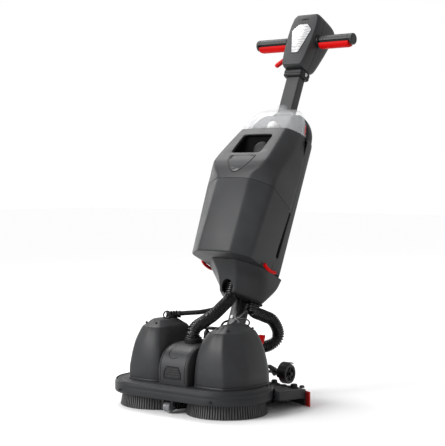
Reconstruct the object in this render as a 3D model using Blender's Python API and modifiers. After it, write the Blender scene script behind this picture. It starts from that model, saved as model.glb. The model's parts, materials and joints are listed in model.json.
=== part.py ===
"""A compact upright floor scrubber drier: two contra-rotating brushes, a curved squeegee with two
transport wheels, and a leaning column that carries the battery, the pump, the vacuum and two tanks.

Frame: metres, +Z up, -Y is the machine's front, +X the operator's left. The origin is on the floor
at the middle of the bounding box. Base pieces are placed from the brush line. Column pieces are
placed as (x, ahead, up): up runs along the column from the tilt pivot, and ahead is measured
square to it from the handle tube's centre line, positive towards the front.
"""

import math

import bmesh
import bpy
from mathutils import Matrix, Vector

# ---- driving dimensions, in metres and degrees --------------------------------------------------
GAP = 0.0004  # clearance between pieces that touch

BRUSH_SPACING = 0.225  # between the two brush axes: their rings overlap nowhere and scrub 440 mm
BRUSH_RADIUS = 0.108
BRISTLE_BORE = 0.066
BRISTLE_LENGTH = 0.034
BLOCK_THICKNESS = 0.012

DECK_HALF_LENGTH = 0.2235
DECK_HALF_WIDTH = 0.1165
DECK_CORNER = 0.110
DECK_TOP = 0.070
DECK_WALL = 0.004
BUFFER_THICKNESS = 0.0055

COWL_INNER_X = 0.0500
COWL_TOP = 0.2245
COWL_WALL = 0.003
CUFF_Y = 0.004  # where the water hose enters the centre cover

LEAN = 24.4  # the column's lean back at rest
PIVOT_Y = 0.168
PIVOT_Z = 0.147
TUBE_AHEAD = 0.020  # the tube's centre line stands this far ahead of the tilt pivot

TANK_REAR = 0.0200
TANK_FRONT = 0.160
TANK_CHAMFER = 0.125
TANK_PANEL = 0.0535
TANK_BOTTOM = 0.2045
TANK_SEAM = 0.419
SEAM_SLOPE = 0.245
TANK_TOP = 0.607
TANK_WALL = 0.003
LID_TOP = 0.690
FLOAT_AHEAD = 0.045
FLOAT_UP = 0.622

TUBE_X = 0.047
TUBE_DEPTH = 0.030
TUBE_WALL = 0.002
TUBE_FOOT = 0.52
HEAD_BOTTOM = 0.833
BAR_UP = 0.931
BAR_HALF = 0.168
GRIP_RADIUS = 0.0168

SQUEEGEE_HALF = 0.2435
SQUEEGEE_CORNER_Y = 0.188
SQUEEGEE_ANGLE = 31.0  # how far the blade's ends are swept forward
SQUEEGEE_LIFT_Y = 0.150
SQUEEGEE_LIFT_Z = 0.088
BLADE_THICKNESS = 0.003

WHEEL_RADIUS = 0.028
WHEEL_WIDTH = 0.024
WHEEL_X = 0.103
WHEEL_Y = 0.290
WHEEL_Z = 0.061

HOSE_RADIUS = 0.0170
WATER_HOSE_AHEAD = 0.0380  # where the front hose leaves the housing's underside
CABLE_RADIUS = 0.0065

BOX_MIDDLE_Y = 0.2604  # the middle of the bounding box, measured from the brush line

# colour, roughness, metallic
FINISHES = {
    "body_plastic": ((0.062, 0.064, 0.064), 0.55, 0.0),
    "upper_plastic": ((0.075, 0.078, 0.078), 0.5, 0.0),
    "black_plastic": ((0.015, 0.015, 0.016), 0.5, 0.0),
    "red_plastic": ((0.55, 0.004, 0.006), 0.4, 0.0),
    "clear_plastic": ((0.62, 0.64, 0.65), 0.12, 0.0),
    "white_plastic": ((0.8, 0.8, 0.8), 0.4, 0.0),
    "bristle": ((0.10, 0.10, 0.10), 0.8, 0.0),
    "hose_plastic": ((0.022, 0.022, 0.023), 0.5, 0.0),
    "cable_grey": ((0.25, 0.25, 0.25), 0.6, 0.0),
    "rubber": ((0.02, 0.02, 0.02), 0.85, 0.0),
    "red_rubber": ((0.5, 0.01, 0.01), 0.6, 0.0),
    "coated_metal": ((0.05, 0.05, 0.052), 0.4, 0.6),
    "steel": ((0.6, 0.6, 0.6), 0.3, 1.0),
}

PARTS = None  # the collections, made in main()
CUTTERS = None
ROOT = None  # empties: the machine's root and the leaning column
COLUMN = None


# ---- scene helpers ------------------------------------------------------------------------------
def material(finish):
    found = bpy.data.materials.get(finish)
    if found:
        return found
    colour, roughness, metallic = FINISHES[finish]
    made = bpy.data.materials.new(finish)
    made.use_nodes = True
    shader = made.node_tree.nodes["Principled BSDF"]
    shader.inputs["Base Color"].default_value = (*colour, 1)
    shader.inputs["Roughness"].default_value = roughness
    shader.inputs["Metallic"].default_value = metallic
    return made


def place(obj, finish, parent, smooth=True):
    """Files an object as a part, in its finish and under its parent."""
    PARTS.objects.link(obj)
    obj.data.materials.append(material(finish))
    obj.parent = parent or ROOT
    if smooth and obj.type == "MESH":
        obj.data.shade_smooth()
        obj.data.set_sharp_from_angle(angle=math.radians(35))
    return obj


def mesh_part(name, bm, finish, parent=None):
    """Turns a bmesh into a part, with its faces pointing out."""
    bmesh.ops.recalc_face_normals(bm, faces=bm.faces)
    mesh = bpy.data.meshes.new(name)
    bm.to_mesh(mesh)
    bm.free()
    return place(bpy.data.objects.new(name, mesh), finish, parent)


def cutter(name, bm, parent=None):
    bmesh.ops.recalc_face_normals(bm, faces=bm.faces)
    mesh = bpy.data.meshes.new(name)
    bm.to_mesh(mesh)
    bm.free()
    obj = bpy.data.objects.new(name, mesh)
    CUTTERS.objects.link(obj)
    obj.parent = parent or ROOT
    obj.hide_render = True
    obj.display_type = "WIRE"
    return obj


def combine(obj, tool, operation="DIFFERENCE"):
    step = obj.modifiers.new(tool.name, "BOOLEAN")
    step.operation = operation
    step.solver = "EXACT"
    step.object = tool


def empty(name, location, parent=None, rotation=(0, 0, 0)):
    obj = bpy.data.objects.new(name, None)
    PARTS.objects.link(obj)
    obj.parent = parent
    obj.location = location
    obj.rotation_euler = rotation
    return obj


# ---- shape helpers ------------------------------------------------------------------------------
def col(x, ahead, up):
    """A column place as a point in the column empty's own axes."""
    return Vector((x, -(ahead + TUBE_AHEAD), up))


def col_world(x, ahead, up):
    """The same place measured from the brush line, at rest."""
    lean = Matrix.Rotation(math.radians(-LEAN), 4, "X")
    return Vector((0, PIVOT_Y, PIVOT_Z)) + lean @ col(x, ahead, up)


def rounded_rect(x0, x1, y0, y1, radius, steps=4, left_radius=None):
    """Points round a rounded rectangle, anticlockwise from the right-hand side."""
    points = []
    left = radius if left_radius is None else left_radius
    corners = [(x1, y1, 0, radius), (x0, y1, 90, left), (x0, y0, 180, left), (x1, y0, 270, radius)]
    for x, y, start, radius in corners:
        cx = x - math.copysign(radius, x - (x0 + x1) / 2)
        cy = y - math.copysign(radius, y - (y0 + y1) / 2)
        for i in range(steps + 1):
            a = math.radians(start + 90 * i / steps)
            points.append((cx + radius * math.cos(a), cy + radius * math.sin(a)))
    return points


def add_band_face(bm, a, b, c, d):
    """One quad if it is flat, and otherwise two triangles split along its shorter diagonal."""
    normal = (b.co - a.co).cross(d.co - a.co)
    if normal.length < 1e-12 or abs((c.co - a.co).dot(normal.normalized())) < 1e-6:
        bm.faces.new((a, b, c, d))
    elif (c.co - a.co).length <= (d.co - b.co).length:
        bm.faces.new((a, b, c))
        bm.faces.new((a, c, d))
    else:
        bm.faces.new((a, b, d))
        bm.faces.new((b, c, d))


def loft(rings, closed=False):
    """A skin over rings of equal count, capped at both ends, or joined end to end if closed."""
    bm = bmesh.new()
    loops = [[bm.verts.new(p) for p in ring] for ring in rings]
    pairs = list(zip(loops, loops[1:]))
    if closed:
        pairs.append((loops[-1], loops[0]))
    for low, high in pairs:
        for i in range(len(low)):
            j = (i + 1) % len(low)
            add_band_face(bm, low[i], low[j], high[j], high[i])
    if not closed:
        bm.faces.new(loops[0])
        bm.faces.new(loops[-1])
    return bm


def box(x0, x1, y0, y1, z0, z1):
    bm = bmesh.new()
    middle = Vector(((x0 + x1) / 2, (y0 + y1) / 2, (z0 + z1) / 2))
    size = Matrix.Diagonal((x1 - x0, y1 - y0, z1 - z0, 1))
    bmesh.ops.create_cube(bm, size=1, matrix=Matrix.Translation(middle) @ size)
    return bm


def column_box(x0, x1, ahead0, ahead1, up0, up1):
    low, high = col(x0, ahead1, up0), col(x1, ahead0, up1)
    return box(low.x, high.x, low.y, high.y, low.z, high.z)


def rod(start, end, radius, sides=20, end_radius=None):
    """A round bar or cone frustum from one point to another."""
    start, end = Vector(start), Vector(end)
    along = end - start
    turn = along.to_track_quat("Z", "Y").to_matrix().to_4x4()
    bm = bmesh.new()
    bmesh.ops.create_cone(
        bm,
        cap_ends=True,
        segments=sides,
        radius1=radius,
        radius2=radius if end_radius is None else end_radius,
        depth=along.length,
        matrix=Matrix.Translation((start + end) / 2) @ turn,
    )
    return bm


def ring_solid(centre, inner, outer, z0, z1, sides=32):
    """A flat ring about +Z."""
    profile = [(inner, z0), (outer, z0), (outer, z1), (inner, z1)]
    rings = []
    for radius, z in profile:
        angles = [math.tau * i / sides for i in range(sides)]
        rings.append([
            (centre[0] + radius * math.cos(a), centre[1] + radius * math.sin(a), z) for a in angles
        ])
    return loft(rings, closed=True)


def smooth_path(points, spacing):
    """Points every `spacing` along a Catmull-Rom curve through the route's own points."""
    route = [Vector(p) for p in points]
    route = [2 * route[0] - route[1], *route, 2 * route[-1] - route[-2]]
    made = []
    for a, b, c, d in zip(route, route[1:], route[2:], route[3:]):
        steps = max(2, round((c - b).length / spacing))
        for i in range(steps):
            t = i / steps
            made.append(
                0.5 * (2 * b + (c - a) * t + (2 * a - 5 * b + 4 * c - d) * t**2
                       + (3 * b - a - 3 * c + d) * t**3)
            )
    return made + [route[-2]]


def tube(name, points, radius, finish, parent=None, resolution=3, spacing=None):
    """A round flexible tube with closed ends through a route of points."""
    path = smooth_path(points, spacing or 2.2 * radius)
    curve = bpy.data.curves.new(name, "CURVE")
    curve.dimensions = "3D"
    curve.bevel_depth = radius
    curve.bevel_resolution = resolution
    curve.use_fill_caps = True
    curve.resolution_u = 1
    curve.render_resolution_u = 0
    spline = curve.splines.new("POLY")
    spline.points.add(len(path) - 1)
    for point, place_at in zip(spline.points, path):
        point.co = (*place_at, 1)
    return place(bpy.data.objects.new(name, curve), finish, parent)


def bevel(obj, width, segments=2, angle=30):
    step = obj.modifiers.new("edges", "BEVEL")
    step.width = width
    step.segments = segments
    step.limit_method = "ANGLE"
    step.angle_limit = math.radians(angle)


# ---- base: deck, buffer and brushes -------------------------------------------------------------
def deck_outline(offset, z):
    outline = rounded_rect(
        -DECK_HALF_LENGTH - offset, DECK_HALF_LENGTH + offset,
        -DECK_HALF_WIDTH - offset, DECK_HALF_WIDTH + offset, DECK_CORNER + offset, steps=8,
    )
    return [(x, y, z) for x, y in outline]


def make_deck():
    """The moulded deck is a shallow tray, open below, with a hole over each brush hub."""
    inside = DECK_TOP - DECK_WALL
    skirt = 0.043
    deck = mesh_part("deck_shell", loft([
        deck_outline(-DECK_WALL, inside), deck_outline(-DECK_WALL, skirt),
        deck_outline(0, skirt), deck_outline(0, DECK_TOP),
    ]), "body_plastic")
    for side in (1, -1):
        x = side * BRUSH_SPACING / 2
        combine(deck, cutter(f"hub_hole_{side}", rod((x, 0, 0.05), (x, 0, 0.09), 0.018)))
    outer = BUFFER_THICKNESS
    mesh_part("buffer_rim", loft([
        deck_outline(GAP, 0.038), deck_outline(outer - 0.002, 0.037), deck_outline(outer, 0.042),
        deck_outline(outer, 0.060), deck_outline(outer - 0.0015, 0.067),
        deck_outline(outer - 0.004, DECK_TOP), deck_outline(GAP, DECK_TOP),
    ], closed=True), "black_plastic")


def make_brush(side, word):
    """A brush block with its bristle ring, and the plate and shaft that drive it."""
    x = side * BRUSH_SPACING / 2
    axis = empty(f"{word}_brush_axis", (x, 0, 0), ROOT)
    block_z = BRISTLE_LENGTH + GAP
    block_top = block_z + BLOCK_THICKNESS
    mesh_part(f"{word}_bristles",
              ring_solid((0, 0), BRISTLE_BORE, BRUSH_RADIUS, 0, BRISTLE_LENGTH), "bristle", axis)
    mesh_part(f"{word}_brush",
              ring_solid((0, 0), 0.022, BRUSH_RADIUS - 0.003, block_z, block_top),
              "black_plastic", axis)
    drive = mesh_part(f"{word}_drive_plate",
                      rod((0, 0, block_top + GAP), (0, 0, block_top + 0.008), 0.040), "steel", axis)
    shaft = cutter(f"{word}_shaft", rod((0, 0, block_top + 0.004), (0, 0, 0.0785), 0.010), axis)
    combine(drive, shaft, "UNION")
    mesh_part(f"{word}_brush_motor", rod((x, 0, 0.079), (x, 0, 0.165), 0.042), "coated_metal")


# ---- base: cowls, covers and brackets -----------------------------------------------------------
COWL_SECTIONS = [  # height, inner x, outer x, front y, rear y, outer and inner corner radius
    (DECK_TOP + GAP, COWL_INNER_X, 0.1920, -0.0760, 0.1160, 0.055, 0.030),
    (0.1050, 0.0505, 0.1915, -0.0750, 0.1150, 0.055, 0.030),
    (0.1400, 0.0530, 0.1890, -0.0710, 0.1110, 0.054, 0.030),
    (0.1700, 0.0600, 0.1820, -0.0630, 0.1030, 0.050, 0.029),
    (0.1950, 0.0710, 0.1720, -0.0500, 0.0920, 0.045, 0.027),
    (0.2120, 0.0830, 0.1610, -0.0360, 0.0790, 0.038, 0.024),
    (COWL_TOP, 0.0970, 0.1480, -0.0200, 0.0640, 0.025, 0.018),
]


def cowl_ring(section, side, inset):
    z, inner, outer, front, rear, radius, inner_radius = section
    outline = rounded_rect(inner + inset, outer - inset, front + inset, rear - inset,
                           radius - inset, 4, inner_radius - inset)
    return [(side * x, y, z) for x, y in outline]


def make_cowl(side, word):
    """A tapering motor cowl, open below."""
    outside = [cowl_ring(s, side, 0) for s in COWL_SECTIONS]
    inside = [cowl_ring(s, side, COWL_WALL) for s in COWL_SECTIONS[:-1]]
    lid_z = COWL_TOP - COWL_WALL
    roof = [(x, y, lid_z) for x, y, _ in cowl_ring(COWL_SECTIONS[-1], side, COWL_WALL + 0.003)]
    mesh_part(f"{word}_cowl", loft([roof, *reversed(inside), *outside]), "body_plastic")


def make_centre_cover():
    """The arched cover between the cowls, open below and behind, with the hose cuff on its top."""
    half = COWL_INNER_X - 0.001
    front, rear = -0.084, 0.070
    arch = [(front, DECK_TOP + GAP), (front - 0.001, 0.105), (front + 0.006, 0.135),
            (front + 0.026, 0.158), (front + 0.060, 0.169), (0.020, 0.171), (rear, 0.171)]

    def side_ring(x, wall):
        outer = [(x, y, z) for y, z in arch]
        inner = [(x, y + wall if y < rear else y, z - wall if z > 0.09 else z)
                 for y, z in reversed(arch)]
        return outer + inner
    cover = mesh_part("centre_cover", loft([side_ring(-half, 0.003), side_ring(half, 0.003)]),
                      "upper_plastic")
    cuff = ring_solid((0, CUFF_Y), HOSE_RADIUS + 0.0005, 0.0225, 0.1695, 0.186, 24)
    combine(cover, cutter("hose_cuff", cuff), "UNION")


def make_tie_bar():
    """A flat bar that joins the cowls behind the hose."""
    bar = mesh_part("tie_bar", box(-0.0720, 0.0720, 0.078, 0.092, 0.196, 0.204), "black_plastic")
    bevel(bar, 0.002)


def make_pivot_bracket():
    """Two cheeks that rise from the deck's rear edge and hold the cross block."""
    def cheek(x0, x1):
        outline = [(0.076, DECK_TOP + GAP), (0.114, DECK_TOP + GAP), (0.184, 0.128),
                   (0.186, 0.150), (0.177, 0.162), (0.160, 0.163), (0.128, 0.132), (0.084, 0.096)]
        return loft([[(x, y, z) for y, z in outline] for x in (x0, x1)])
    bracket = mesh_part("pivot_bracket", box(-0.028, 0.028, 0.0765, 0.1135, DECK_TOP + GAP, 0.082),
                        "coated_metal")
    for side in (1, -1):
        x0, x1 = sorted((side * 0.0205, side * 0.0285))
        combine(bracket, cutter(f"pivot_cheek_{side}", cheek(x0, x1)), "UNION")
    hole = rod((-0.04, PIVOT_Y, PIVOT_Z), (0.04, PIVOT_Y, PIVOT_Z), 0.0066, 20)
    combine(bracket, cutter("pivot_hole", hole))


def make_front_roller():
    """A small guide roller under the front of the deck, between the brushes."""
    y, z, half = -0.098, 0.016, 0.010
    axle = empty("front_roller_axle", (0, y, z), ROOT)
    fork = mesh_part("roller_bracket", box(-0.020, 0.020, y - 0.008, y + 0.008, 0.044, 0.0655),
                     "coated_metal")
    for side in (1, -1):
        x0, x1 = sorted((side * 0.0125, side * 0.017))
        ear = box(x0, x1, y - 0.006, y + 0.006, z - 0.006, 0.050)
        combine(fork, cutter(f"roller_ear_{side}", ear), "UNION")
    combine(fork, cutter("roller_axle_hole", rod((-0.03, y, z), (0.03, y, z), 0.0029, 12)))
    roller = mesh_part("front_roller", rod((-half, 0, 0), (half, 0, 0), 0.013, 20), "cable_grey",
                       axle)
    stub = cutter("roller_stub", rod((-0.0165, 0, 0), (0.0165, 0, 0), 0.0025, 12), axle)
    combine(roller, stub, "UNION")


# ---- squeegee, wheels and pedal -----------------------------------------------------------------
SQUEEGEE_RADIUS = SQUEEGEE_HALF / math.sin(math.radians(SQUEEGEE_ANGLE))
SQUEEGEE_CENTRE_Y = SQUEEGEE_CORNER_Y - SQUEEGEE_RADIUS * math.cos(math.radians(SQUEEGEE_ANGLE))


def arc_point(offset, degrees, z):
    """A point on the squeegee's arc, moved out by offset, in the lift axis's own axes."""
    a = math.radians(degrees)
    reach = SQUEEGEE_RADIUS + offset
    return (reach * math.sin(a), SQUEEGEE_CENTRE_Y + reach * math.cos(a) - SQUEEGEE_LIFT_Y,
            z - SQUEEGEE_LIFT_Z)


def blade(offset, z0, z1, reach, steps=16):
    """A thin upright strip that follows the squeegee's arc."""
    rings = []
    for i in range(steps + 1):
        angle = reach * (2 * i / steps - 1)
        rings.append([arc_point(offset + d, angle, z)
                      for d, z in ((0, z0), (BLADE_THICKNESS, z0), (BLADE_THICKNESS, z1), (0, z1))])
    return loft(rings)


def squeegee_outline():
    """The moulding's plan: the arc behind, and wings that wrap the deck's rear corners."""
    rear = [arc_point(-0.007, 30 * (1 - i / 6), 0)[:2] for i in range(13)]
    hug = DECK_CORNER + BUFFER_THICKNESS + 0.006
    corner_x = DECK_HALF_LENGTH - DECK_CORNER
    corner_y = DECK_HALF_WIDTH - DECK_CORNER - SQUEEGEE_LIFT_Y
    left, right = [], []
    for i in range(5):
        a = math.radians(24 + 13 * i)
        right.append((corner_x + hug * math.cos(a), corner_y + hug * math.sin(a)))
        left.append((-right[-1][0], right[-1][1]))
    middle = [(0.05, 0.166 - SQUEEGEE_LIFT_Y), (0.035, 0.190 - SQUEEGEE_LIFT_Y)]
    front = right + middle + [(-x, y) for x, y in reversed(middle)] + list(reversed(left))
    tip_y = 0.056 - SQUEEGEE_LIFT_Y
    return rear + [(-0.2395, tip_y)] + list(reversed(front)) + [(0.2395, tip_y)]


def make_squeegee():
    """The lifting squeegee: its moulding, two blades, the suction port and two corner rollers."""
    lift = empty("squeegee_lift_axis", (0, SQUEEGEE_LIFT_Y, SQUEEGEE_LIFT_Z), ROOT)
    outline = squeegee_outline()
    slope = 0.10  # the top falls towards the rear

    def level(z):
        return [(x, y, z - SQUEEGEE_LIFT_Z - slope * y) for x, y in outline]
    body = mesh_part("squeegee_body", loft([level(0.026), level(0.050)]), "black_plastic", lift)
    hinge = box(-0.016, 0.016, -0.008, 0.052, -0.050, 0.008)
    combine(body, cutter("squeegee_hinge_arm", hinge, lift), "UNION")
    port = rod((0, 0.072, -0.045), (0, 0.072, 0.012), 0.0225, 24)
    combine(body, cutter("squeegee_port", port, lift), "UNION")
    bore = rod((0, 0.072, -0.020), (0, 0.072, 0.030), HOSE_RADIUS + 0.0006, 24)
    combine(body, cutter("squeegee_port_bore", bore, lift))
    combine(body, cutter("squeegee_hinge_bore", rod((-0.05, 0, 0), (0.05, 0, 0), 0.0046, 16), lift))
    mesh_part("front_blade", blade(-0.006, 0.001, 0.029, 29), "rubber", lift)
    mesh_part("rear_blade", blade(0, 0, 0.040, SQUEEGEE_ANGLE), "red_rubber", lift)
    for side, word in ((1, "left"), (-1, "right")):
        make_corner_roller(side, word, lift)


def make_corner_roller(side, word, lift):
    """An upright roller that keeps the squeegee's corner off walls."""
    x = side * 0.2365
    y = 0.163 - SQUEEGEE_LIFT_Y
    z = 0.054 - SQUEEGEE_LIFT_Z
    axis = empty(f"{word}_corner_roller_axis", (x, y, z), lift)
    drum = [(0.0030, 0.0), (0.0070, 0.0), (0.0070, 0.004), (0.0055, 0.006), (0.0030, 0.006)]
    rings = [[(r * math.cos(a), r * math.sin(a), h)
              for a in [math.tau * i / 20 for i in range(20)]] for r, h in drum]
    mesh_part(f"{word}_corner_roller", loft(rings, closed=True), "black_plastic", axis)


def make_wheels():
    """Two transport wheels on an axle behind the squeegee, held by arms from the deck."""
    pin = rod((-0.060, SQUEEGEE_LIFT_Y, SQUEEGEE_LIFT_Z), (0.060, SQUEEGEE_LIFT_Y, SQUEEGEE_LIFT_Z),
              0.004, 16)
    arms = mesh_part("wheel_bracket", pin, "coated_metal")
    rail = [(0.1175, 0.0745), (0.1240, 0.0760), (0.175, 0.086), (0.262, 0.0860), (0.300, 0.0680),
            (0.300, 0.054), (0.280, 0.052), (0.258, 0.077), (0.180, 0.078), (0.1240, 0.0706),
            (0.1175, 0.0706)]
    for side in (1, -1):
        x0, x1 = sorted((side * 0.0630, side * 0.0680))
        arm = loft([[(x, y, z) for y, z in rail] for x in (x0, x1)])
        combine(arms, cutter(f"wheel_arm_{side}", arm), "UNION")
        for part_name, near, far, y0, y1, z0, z1 in (
                ("lift_post", 0.0320, 0.0660, 0.142, 0.158, 0.0795, 0.0935),
                ("foot", 0.0300, 0.0470, 0.088, 0.1190, DECK_TOP + GAP, 0.0745),
                ("heel", 0.0300, 0.0680, 0.1175, 0.1240, DECK_TOP + GAP, 0.0745)):
            x0, x1 = sorted((side * near, side * far))
            lump = cutter(f"wheel_{part_name}_{side}", box(x0, x1, y0, y1, z0, z1))
            combine(arms, lump, "UNION")
    axle = rod((-0.119, WHEEL_Y, WHEEL_Z), (0.119, WHEEL_Y, WHEEL_Z), 0.004, 16)
    combine(arms, cutter("wheel_axle", axle), "UNION")
    stand = box(0.060, 0.0720, 0.1175, 0.1340, 0.0710, 0.1080)
    combine(arms, cutter("pedal_stand", stand), "UNION")
    for side, word in ((1, "left"), (-1, "right")):
        axle = empty(f"{word}_wheel_axis", (side * WHEEL_X, WHEEL_Y, WHEEL_Z), ROOT)
        half = WHEEL_WIDTH / 2
        profile = [(0.0048, -half), (0.024, -half), (WHEEL_RADIUS, -half + 0.004),
                   (WHEEL_RADIUS, half - 0.004), (0.024, half), (0.0048, half)]
        rings = [[(h, r * math.cos(a), r * math.sin(a))
                  for a in [math.tau * i / 28 for i in range(28)]] for r, h in profile]
        mesh_part(f"{word}_wheel", loft(rings, closed=True), "rubber", axle)


def make_foot_pedal():
    """The red pedal behind the left cowl that lifts the squeegee."""
    y, z = 0.128, 0.104
    axis = empty("foot_pedal_axis", (0.082, y, z), ROOT)
    arm = [(-0.008, -0.006), (0.002, -0.010), (0.070, 0.052), (0.078, 0.070), (0.066, 0.072),
           (-0.004, 0.006)]
    pedal = mesh_part("foot_pedal", loft([[(x, a, b) for a, b in arm] for x in (-0.009, 0.009)]),
                      "red_plastic", axis)
    bevel(pedal, 0.002)


# ---- the joint between base and column ----------------------------------------------------------
def make_cross():
    """The cross block tips about X in the bracket, and the neck swings on its fore-and-aft pin."""
    cross = empty("cross_axis", (0, PIVOT_Y, PIVOT_Z), ROOT, (math.radians(-LEAN), 0, 0))
    block = mesh_part("cross_block", box(-0.0198, 0.0198, -0.0165, 0.0165, -0.014, 0.014),
                      "coated_metal", cross)
    tilt = rod((-0.0280, 0, 0), (0.0280, 0, 0), 0.006, 20)
    swing = rod((0, -0.0240, 0), (0, 0.0240, 0), 0.006, 20)
    combine(block, cutter("tilt_pin", tilt, cross), "UNION")
    combine(block, cutter("swing_pin", swing, cross), "UNION")


def make_neck():
    """A forked post that carries the column on the cross block."""
    post = mesh_part("neck_post", box(-0.012, 0.012, -0.0255, 0.0255, 0.030, 0.165),
                     "coated_metal", COLUMN)
    for side in (1, -1):
        y0, y1 = sorted((side * 0.0172, side * 0.0255))
        ear = box(-0.011, 0.011, y0, y1, -0.011, 0.040)
        combine(post, cutter(f"neck_ear_{side}", ear, COLUMN), "UNION")
    hole = rod((0, -0.05, 0), (0, 0.05, 0), 0.0066, 20)
    combine(post, cutter("neck_hole", hole, COLUMN))


HOUSING_SECTIONS = [  # up, half width, rear, shoulder, nose half width, nose front
    (0.125, 0.060, -0.050, -0.016, 0.0230, 0.0590),
    (0.146, 0.074, -0.054, -0.012, 0.0260, 0.0640),
    (0.175, 0.086, -0.056, 0.010, 0.0300, 0.0800),
    (0.2035, 0.095, -0.055, 0.046, 0.0380, 0.1080),
]


def housing_ring(section, inset, up=None):
    """A housing section: square behind, drawn in to a narrow nose in front."""
    height, half, rear, shoulder, nose, front = section
    half, nose, front, rear = half - inset, nose - inset * 0.7, front - inset, rear + inset
    side = [(half - 0.014, rear), (half, rear + 0.014), (half, shoulder),
            ((half + nose) / 2 + 0.004, (shoulder + front) / 2), (nose + 0.003, front - 0.004),
            (nose - 0.006, front)]
    outline = side + [(-x, ahead) for x, ahead in reversed(side)]
    return [col(x, ahead, height if up is None else up) for x, ahead in outline]


def make_lower_housing():
    """The tapered housing under the tanks, open above, with holes for the neck and both hoses."""
    outside = [housing_ring(s, 0) for s in HOUSING_SECTIONS]
    inside = [housing_ring(s, 0.0035) for s in HOUSING_SECTIONS[1:]]
    floor = housing_ring(HOUSING_SECTIONS[0], 0.0035, 0.129)
    return mesh_part("lower_housing", loft([floor, *inside, *reversed(outside)]), "body_plastic",
                     COLUMN)


def housing_holes(housing):
    neck = box(-0.0125, 0.0125, -0.026, 0.026, 0.11, 0.14)
    combine(housing, cutter("neck_slot", neck, COLUMN))
    for name, x, ahead in (("front", 0.0, WATER_HOSE_AHEAD), ("rear", 0.0375, -0.030)):
        hole = rod(col(x, ahead, 0.10), col(x, ahead, 0.14), HOSE_RADIUS + 0.0020, 20)
        combine(housing, cutter(f"{name}_hose_hole", hole, COLUMN))
    cable = rod(col(-0.030, -0.004, 0.10), col(-0.030, -0.004, 0.14), CABLE_RADIUS + 0.0020, 16)
    combine(housing, cutter("cable_hole", cable, COLUMN))


# ---- column: rear cover and what it holds -------------------------------------------------------
def column_half_width(up):
    """The column widens slowly upwards."""
    return 0.101 + 0.065 * (up - 0.215)


def make_rear_cover():
    """The trough behind the tanks, open to the front, that holds the battery and the motors."""
    low, high = 0.2065, 0.600

    def ring(ahead, inset, widest):
        outline = rounded_rect(-1, 1, low + inset, high - inset, 0.012, steps=2)
        made = []
        for unit, up in outline:
            half = min(column_half_width(up) - 0.0008, widest) - inset
            made.append(col(max(-half, min(half, unit * half)), ahead, up))
        return made
    front = TANK_REAR - 0.0006
    rings = [ring(-0.0480, 0.0035, 0.0780), ring(-0.0300, 0.0035, 0.0960),
             ring(-0.0040, 0.0035, 0.1090), ring(front, 0.0035, 0.1135), ring(front, 0, 0.1135),
             ring(-0.0050, 0, 0.1090), ring(-0.0220, 0, 0.1005), ring(-0.0400, 0, 0.0870),
             ring(-0.0515, 0, 0.0740)]
    cover = mesh_part("rear_cover", loft(rings), "body_plastic", COLUMN)
    x, depth = TUBE_X / 2 + 0.0008, TUBE_DEPTH / 2 + 0.0008
    combine(cover, cutter("cover_tube_hole", column_box(-x, x, -depth, depth, 0.58, 0.62), COLUMN))


def make_column_contents():
    """The battery pack, the guide sleeve for the handle tube, the vacuum motor and the pump."""
    pack = mesh_part("battery_pack", column_box(-0.072, 0.072, -0.042, 0.012, 0.216, 0.392),
                     "black_plastic", COLUMN)
    bevel(pack, 0.004)
    grip = 0.003
    outer_x, outer_d = TUBE_X / 2 + grip, TUBE_DEPTH / 2 + grip
    inner_x, inner_d = TUBE_X / 2 + 0.0006, TUBE_DEPTH / 2 + 0.0006
    up0, up1 = 0.405, 0.596

    def ring(x, depth, up):
        return [col(px, ahead, up) for px, ahead in rounded_rect(-x, x, -depth, depth, 0.004, 2)]
    mesh_part("tube_sleeve", loft([
        ring(outer_x, outer_d, up0), ring(outer_x, outer_d, up1),
        ring(inner_x, inner_d, up1), ring(inner_x, inner_d, up0),
    ], closed=True), "black_plastic", COLUMN)
    mesh_part("vacuum_motor", rod(col(0.0540, -0.014, 0.42), col(0.0540, -0.014, 0.53), 0.026, 24),
              "steel", COLUMN)
    mesh_part("solution_pump", rod(col(-0.050, -0.015, 0.42), col(-0.050, -0.015, 0.49), 0.022, 20),
              "coated_metal", COLUMN)


def make_motor_cover():
    """The domed cover over the vacuum outlet, which the handle tube passes through."""
    sections = [  # up, half width, rear
        (0.6008, 0.108, -0.050), (0.628, 0.106, -0.049), (0.652, 0.096, -0.046),
        (0.670, 0.080, -0.040), (0.680, 0.062, -0.034),
    ]
    front = TANK_REAR - 0.0006

    def ring(section, inset, up=None):
        height, half, rear = section
        half, rear, face = half - inset, rear + inset, front - inset * 0.55
        side = [(half - 0.034, rear), (half - 0.018, rear + 0.015), (half - 0.002, rear + 0.040),
                (half, face - 0.010), (half - 0.002, face)]
        outline = side + [(-x, ahead) for x, ahead in reversed(side)]
        return [col(x, ahead, height if up is None else up) for x, ahead in outline]
    outside = [ring(s, 0) for s in sections]
    inside = [ring(s, 0.003) for s in sections[:-1]]
    roof = ring(sections[-1], 0.004, 0.677)
    cover = mesh_part("motor_cover", loft([roof, *reversed(inside), *outside]), "black_plastic",
                      COLUMN)
    x, depth = TUBE_X / 2 + 0.0008, TUBE_DEPTH / 2 + 0.0008
    combine(cover, cutter("tube_hole", column_box(-x, x, -depth, depth, 0.66, 0.70), COLUMN))


# ---- tanks and lid ------------------------------------------------------------------------------
def tank_ring(half, panel, front, chamfer, rear, heights):
    """Six corners of a tank section; heights(ahead) gives the section's level."""
    outline = [(half, rear), (half, chamfer), (panel, front), (-panel, front), (-half, chamfer),
               (-half, rear)]
    return [col(x, ahead, heights(ahead)) for x, ahead in outline]


def seam(ahead, shift=0.0):
    return TANK_SEAM + SEAM_SLOPE * (ahead - TANK_FRONT) + shift


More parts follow.
